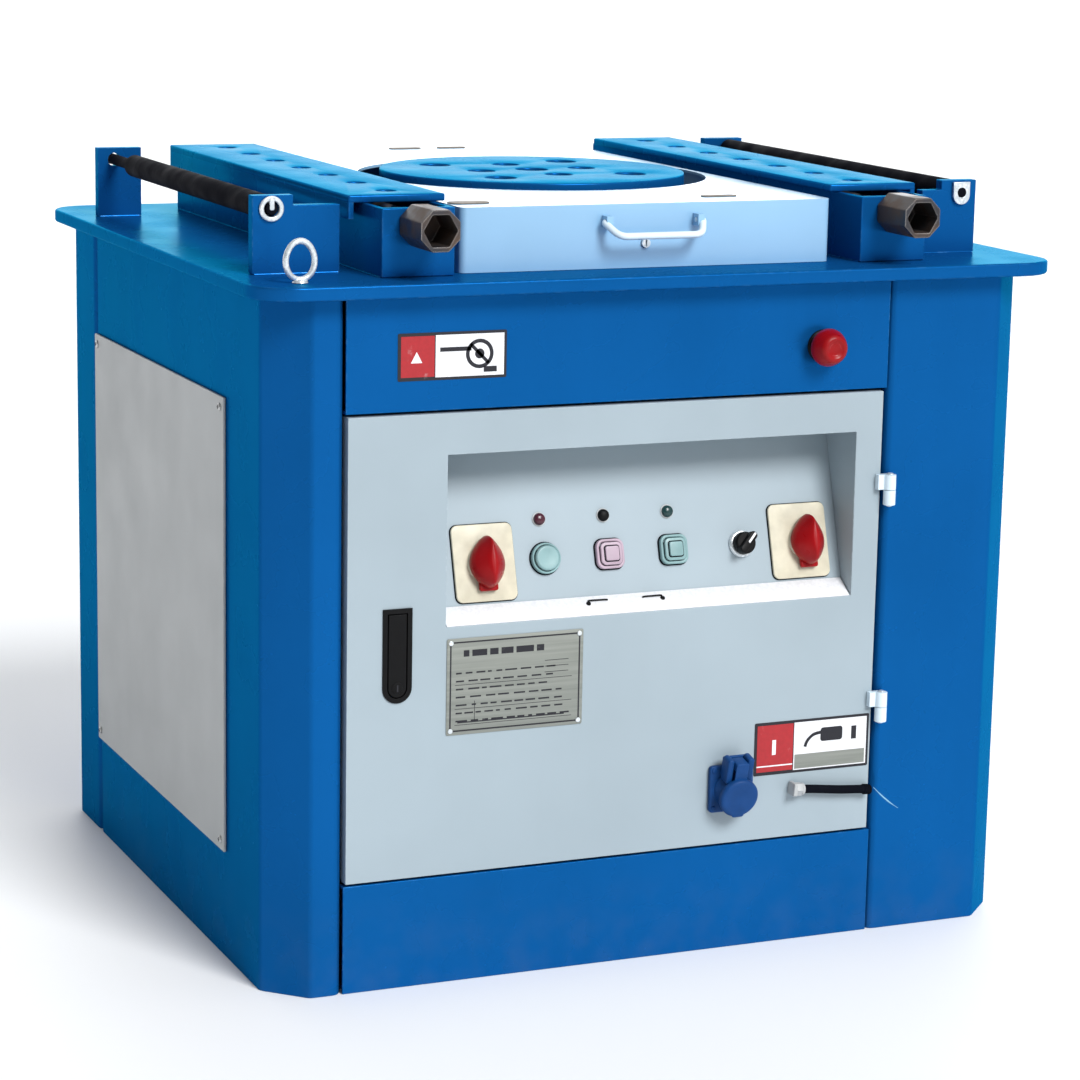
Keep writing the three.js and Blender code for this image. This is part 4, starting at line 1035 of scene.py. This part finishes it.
def mains_inlet():
    """The square flange and leaning shell of the inlet, its pins, and the sprung lid over its mouth."""
    at = facing_front(INLET_X, INLET_Z, span("socket_body")[1][1])
    lean = rotation(INLET_LEAN, "X")
    flange = tile((-25, 25, -25, 25, 4, 5), 0, 6, 1.4)
    neck = ((20.4, 6.2), (19.2, 9), (18, 12), (18, 18.8), (17.4, 19.8), (15, 19.8), (14.4, 19), (14.4, 8))
    shell = loft([[lean @ Vector((*point, z)) for point in circle(0, 0, r)] for r, z in neck])
    foot = moved(turned([(0, 4), (20.6, 4), (19.4, 9), (0, 9)], 64), lean)
    ears = [tile((x, x + 7, 14, 42, 3, 4), 5, 19, 1.6) for x in (-15, 8)]
    ears.append(tile((-14, 14, 16, 39, 2, 3), 2, 5.6, 0.8))
    ears = [moved(ear, lean) for ear in ears]
    screws = [moved(turned([(0, 5.8), (3.0, 5.8), (2.7, 7.2), (0, 7.6)], 24, 0.4), shift(x, y, 0))
              for x in (-20.5, 20.5) for y in (-20.5, 20.5)]
    pins = [moved(turned([(0, 8), (2.2, 8), (2.2, 15), (0, 16.5)], 20), lean @ shift(*polar(7.5, a), 0))
            for a in (math.radians(90 + 120 * i) for i in range(3))]
    add("inlet_shell", [flange, shell, foot, *ears, *screws], "door", "socket_blue", at,
        replaces="socket_body")
    add("inlet_pins", pins, "door", "zinc", at)
    cap = turned([(0, 20.5), (21.4, 20.5), (21.4, 25), (20.2, 27), (17.5, 27.9), (0, 27.9)], 72, 1.2)
    grip = tile((-7, 7, -21.3, -15, 3, 5), 23, 27.9, 1.2)
    arms = [tile((-7, 7, 14, 38.8, 2, 4), 21, 22.9, 0.6),
            tile((-7, 7, 29.2, 38.8, 2, 4), 7.1, 22, 1.4)]
    add("inlet_lid", [cap, grip, *arms], "socket_lid", "socket_blue", at @ lean, replaces="socket_lid")


# -------- the cable on the door, and a painted highlight by its end
CABLE_SLOPE = math.radians(5.7)


def along_cable(station):
    """A frame on the cable's middle line at this x, with z down the cable."""
    x, y, z = centre("door_cable")
    down = (math.cos(CABLE_SLOPE), 0, -math.sin(CABLE_SLOPE))
    return facing((station, y, z - (station - x) * math.tan(CABLE_SLOPE)), down, (0, 1, 0))


def door_cable():
    """The lead, from inside its gland to inside the boot."""
    (x0, x1), (y0, y1), _ = span("door_cable")
    radius = (y1 - y0) / 2
    length = x1 - x0 + 9
    line = [(0, 0.25 * math.sin(i / 3), length * i / 24) for i in range(25)]
    add("door_cable_lead", swept(line, radius - 0.3, 24), "door", "black_rubber", along_cable(x0 - 5),
        replaces="door_cable")
    cable_gland(radius)
    cable_boot(radius)


def cable_gland(radius):
    x0, x1 = span("cable_gland")[0]
    length = x1 - x0
    bore = radius + 0.1
    nut = slab([hexagon(7.4), circle(0, 0, radius + 0.2, 32)], 4.4, length - 3.6, 0.9)
    dome = turned([(bore, length - 4), (6.8, length - 4), (6.6, length - 1.6), (radius + 0.9, length - 0.5),
                   (bore, length - 0.8), (bore, length - 4)], 40, 0.5)
    seat = tile((-6.9, radius + 3.5, -6.9, 6.9, 2, 4), 0.6, 5, 0.8)
    add("cable_gland_nut", [nut, dome, seat], "door", "side_grey", along_cable(x0), replaces="cable_gland")


def cable_boot(radius):
    """A ribbed sleeve with the tail that holds it to the door."""
    x0, x1 = span("cable_boot")[0]
    depth = x1 - x0 - 1
    ribs = []
    for start in (0.6 + index * 2.1 for index in range(4)):
        ribs += [(radius + 0.5, start), (radius + 0.5, start + 1.2)]
        ribs += [(radius, start + 1.5), (radius, start + 1.9)]
    sleeve = turned([(0, 0.4), *ribs, (0, depth)], 36, 0.25)
    tail = tile((0.5, 7.9, -4.2, 4.2, 1.6, 4), 2.2, depth, 0.8)
    add("cable_boot_sleeve", [sleeve, tail], "door", "black_rubber", along_cable(x0 + 0.5),
        replaces="cable_boot")


def post_painted_highlight():
    """A thin pale line on the right post, below the cable's end: a painted highlight, for the lit edge of the
    cable as it runs on down the post.
    """
    y = span("right_side_shell")[1][0] - 0.15
    path = rounded([(252, 0, 158), (262, 0, 148), (274, 0, 138), (283, 0, 132)], 6)
    highlight_line = swept(path, lambda share: 0.25 + 0.55 * math.sin(math.pi * min(1, share * 1.1)), 8)
    flat = Matrix.Diagonal((1, 0.15, 1, 1))
    add("post_painted_highlight", highlight_line, "frame", "machine_blue", shift(0, y, 0) @ flat, material="pale_painted_highlight")


# -------- cabinet fasteners and louvres
VENT_ROWS, VENT_PITCH, VENT_LOW, VENT_CENTRE, VENT_WIDTH = 6, 26, 420, 150, 150
HOOD_DEPTH, HOOD_RISE = 9, 15


def panel_screws():
    """Cross-head screws at the corners of both side panels."""
    for side, s in SIDES.items():
        (x0, x1), (y0, y1), (z0, z1) = span(f"{side}_access_panel")
        places = [facing((x0 if s < 0 else x1, y, z), (s, 0, 0), (0, s, 0))
                  for y in (y0 + 11, y1 - 11) for z in (z0 + 11, z1 - 11)]
        profile = [(0, 0.05), (4.2, 0.05), (4.0, 1.2), (2.6, 2.0), (0, 2.3)]
        heads = [moved(turned(profile, 32, 0.5), at) for at in places]
        slots = [moved(slab([about_middle(*size)], 2.0, 2.42, 0.1, 1), at)
                 for at in places for size in ((4.4, 1), (1, 4.4))]
        add(f"{side}_panel_screws", heads, "frame", "cut_steel")
        add(f"{side}_panel_screw_slots", slots, "frame", "label_black")


def hood(x, z):
    """A pressed hood over one ventilation slot: a quarter-round shell that swells from its ends."""
    face = span("rear_panel")[1][1]
    half = VENT_WIDTH / 2 + 4
    quarter = [math.radians(15 * step) for step in range(7)]
    rings = []
    for share in (i / 24 for i in range(25)):
        here = x - half + 2 * half * share
        swell = min(1.0, 2.6 * math.sin(math.pi * share)) ** 0.5 if 0 < share < 1 else 0.0
        outer, inner = HOOD_DEPTH * swell, max(0.0, HOOD_DEPTH * swell - 1.4)
        ring = [(here, face + 0.1 + outer * math.cos(a), z + HOOD_RISE * math.sin(a)) for a in quarter]
        ring += [(here, face + 0.05 + inner * math.cos(a), z + (HOOD_RISE - 1.6) * math.sin(a))
                 for a in reversed(quarter)]
        rings.append(ring)
    return loft(rings)


def louvres():
    hoods = [hood(x, VENT_LOW + row * VENT_PITCH)
             for x in (-VENT_CENTRE, VENT_CENTRE) for row in range(VENT_ROWS)]
    add("rear_louvres", hoods, "frame", "machine_blue", sharp=50)


def rear_panel_screws():
    """Hexagon screws with washers that hold the rear panel to its posts."""
    heads = []
    (x0, x1), (_, y1), (z0, z1) = span("rear_panel")
    for x in (x0 + 14, x1 - 14):
        for step in range(4):
            at = facing_rear(x, z0 + 60 + step * (z1 - z0 - 120) / 3, y1)
            heads.append(moved(turned([(0, 0.05), (8, 0.05), (8, 1.1), (0, 1.1)], 32, 0.3), at))
            heads.append(moved(slab([hexagon(5.8)], 1.0, 5.0, 0.6, 2), at))
    add("rear_panel_screws", heads, "frame", "zinc")


# -------- inside the cabinet
def motor_details():
    """Cooling fins, fan cowl and terminal box on the motor."""
    x, y, _ = pivot("motor_spin")
    fins = [moved(tile((91, 99, -1.2, 1.2, 0.6, 2), 190, 400, 0.6, 1), rotation(10 * index, "Z"))
            for index in range(36)]
    cowl = turned([(92.5, 400), (100, 400), (100, 438), (96, 443), (60, 445), (60, 441), (92.5, 438),
                   (92.5, 400)], 72, 2)
    box = block((-34, 34), (-118, -98), (240, 320), 3)
    add("motor_fins", [*fins, cowl, box], "frame", "deep_blue", shift(x, y, 0))


def electrics_box():
    """The contactor box on the cabinet's floor, with the conduit to the motor's terminal box."""
    floor = span("floor_pan")[2][0] + 4.3
    case = block((-330, -150), (-250, -130), (floor, floor + 230), 4)
    lid = block((-334, -146), (-256, -250.5), (floor + 6, floor + 226), 2)
    add("electrics_box", [case, lid], "frame", "side_grey")
    x, y, _ = pivot("motor_spin")
    path = [(-150, -190, floor + 40), (-100, -190, floor + 30), (0, -120, floor + 8), (120, 0, floor + 8),
            (x - 30, y - 130, floor + 120), (x - 10, y - 112, 240)]
    add("motor_conduit", swept(rounded(path, 40, 8), 8), "frame", "black_rubber")


# -------- the scene
camera()
studio_world()
studio_floor()
sun("key", (0.30, -1.25, 1.0), 3.2, 24)

work_disc()
gap_shade_ring()
for side_name in SIDES:
    pin_strip(side_name)
    support_roller(side_name)
    rotary_knob(side_name)
roller_keepers()
lifting_eye("front_left_lifting_eye")
lifting_eye("rear_right_lifting_eye")
weld_beads()
cover_plugs()
cover_handle()
switch_plates()
push_button("left", "green_plastic", square=False)
push_button("middle", "pink_plastic", square=True)
push_button("right", "green_plastic", square=True)
selector_switch()
pilot_lamps()
fascia_backs()
rating_plate()
labels()
sill_painted_light()
sill_clips()
latch_details()
hinge_pins()
emergency_stop()
mains_inlet()
door_cable()
post_painted_highlight()
panel_screws()
louvres()
rear_panel_screws()
motor_details()
electrics_box()

REPLACED = {name for piece in bpy.data.objects for name in piece.get("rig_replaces", [])}
for node_name, cad_node in frame["nodes"].items():
    if node_name not in REPLACED:
        finish_node(node_name, cad_node)

bpy.context.scene.view_settings.view_transform = "Standard"
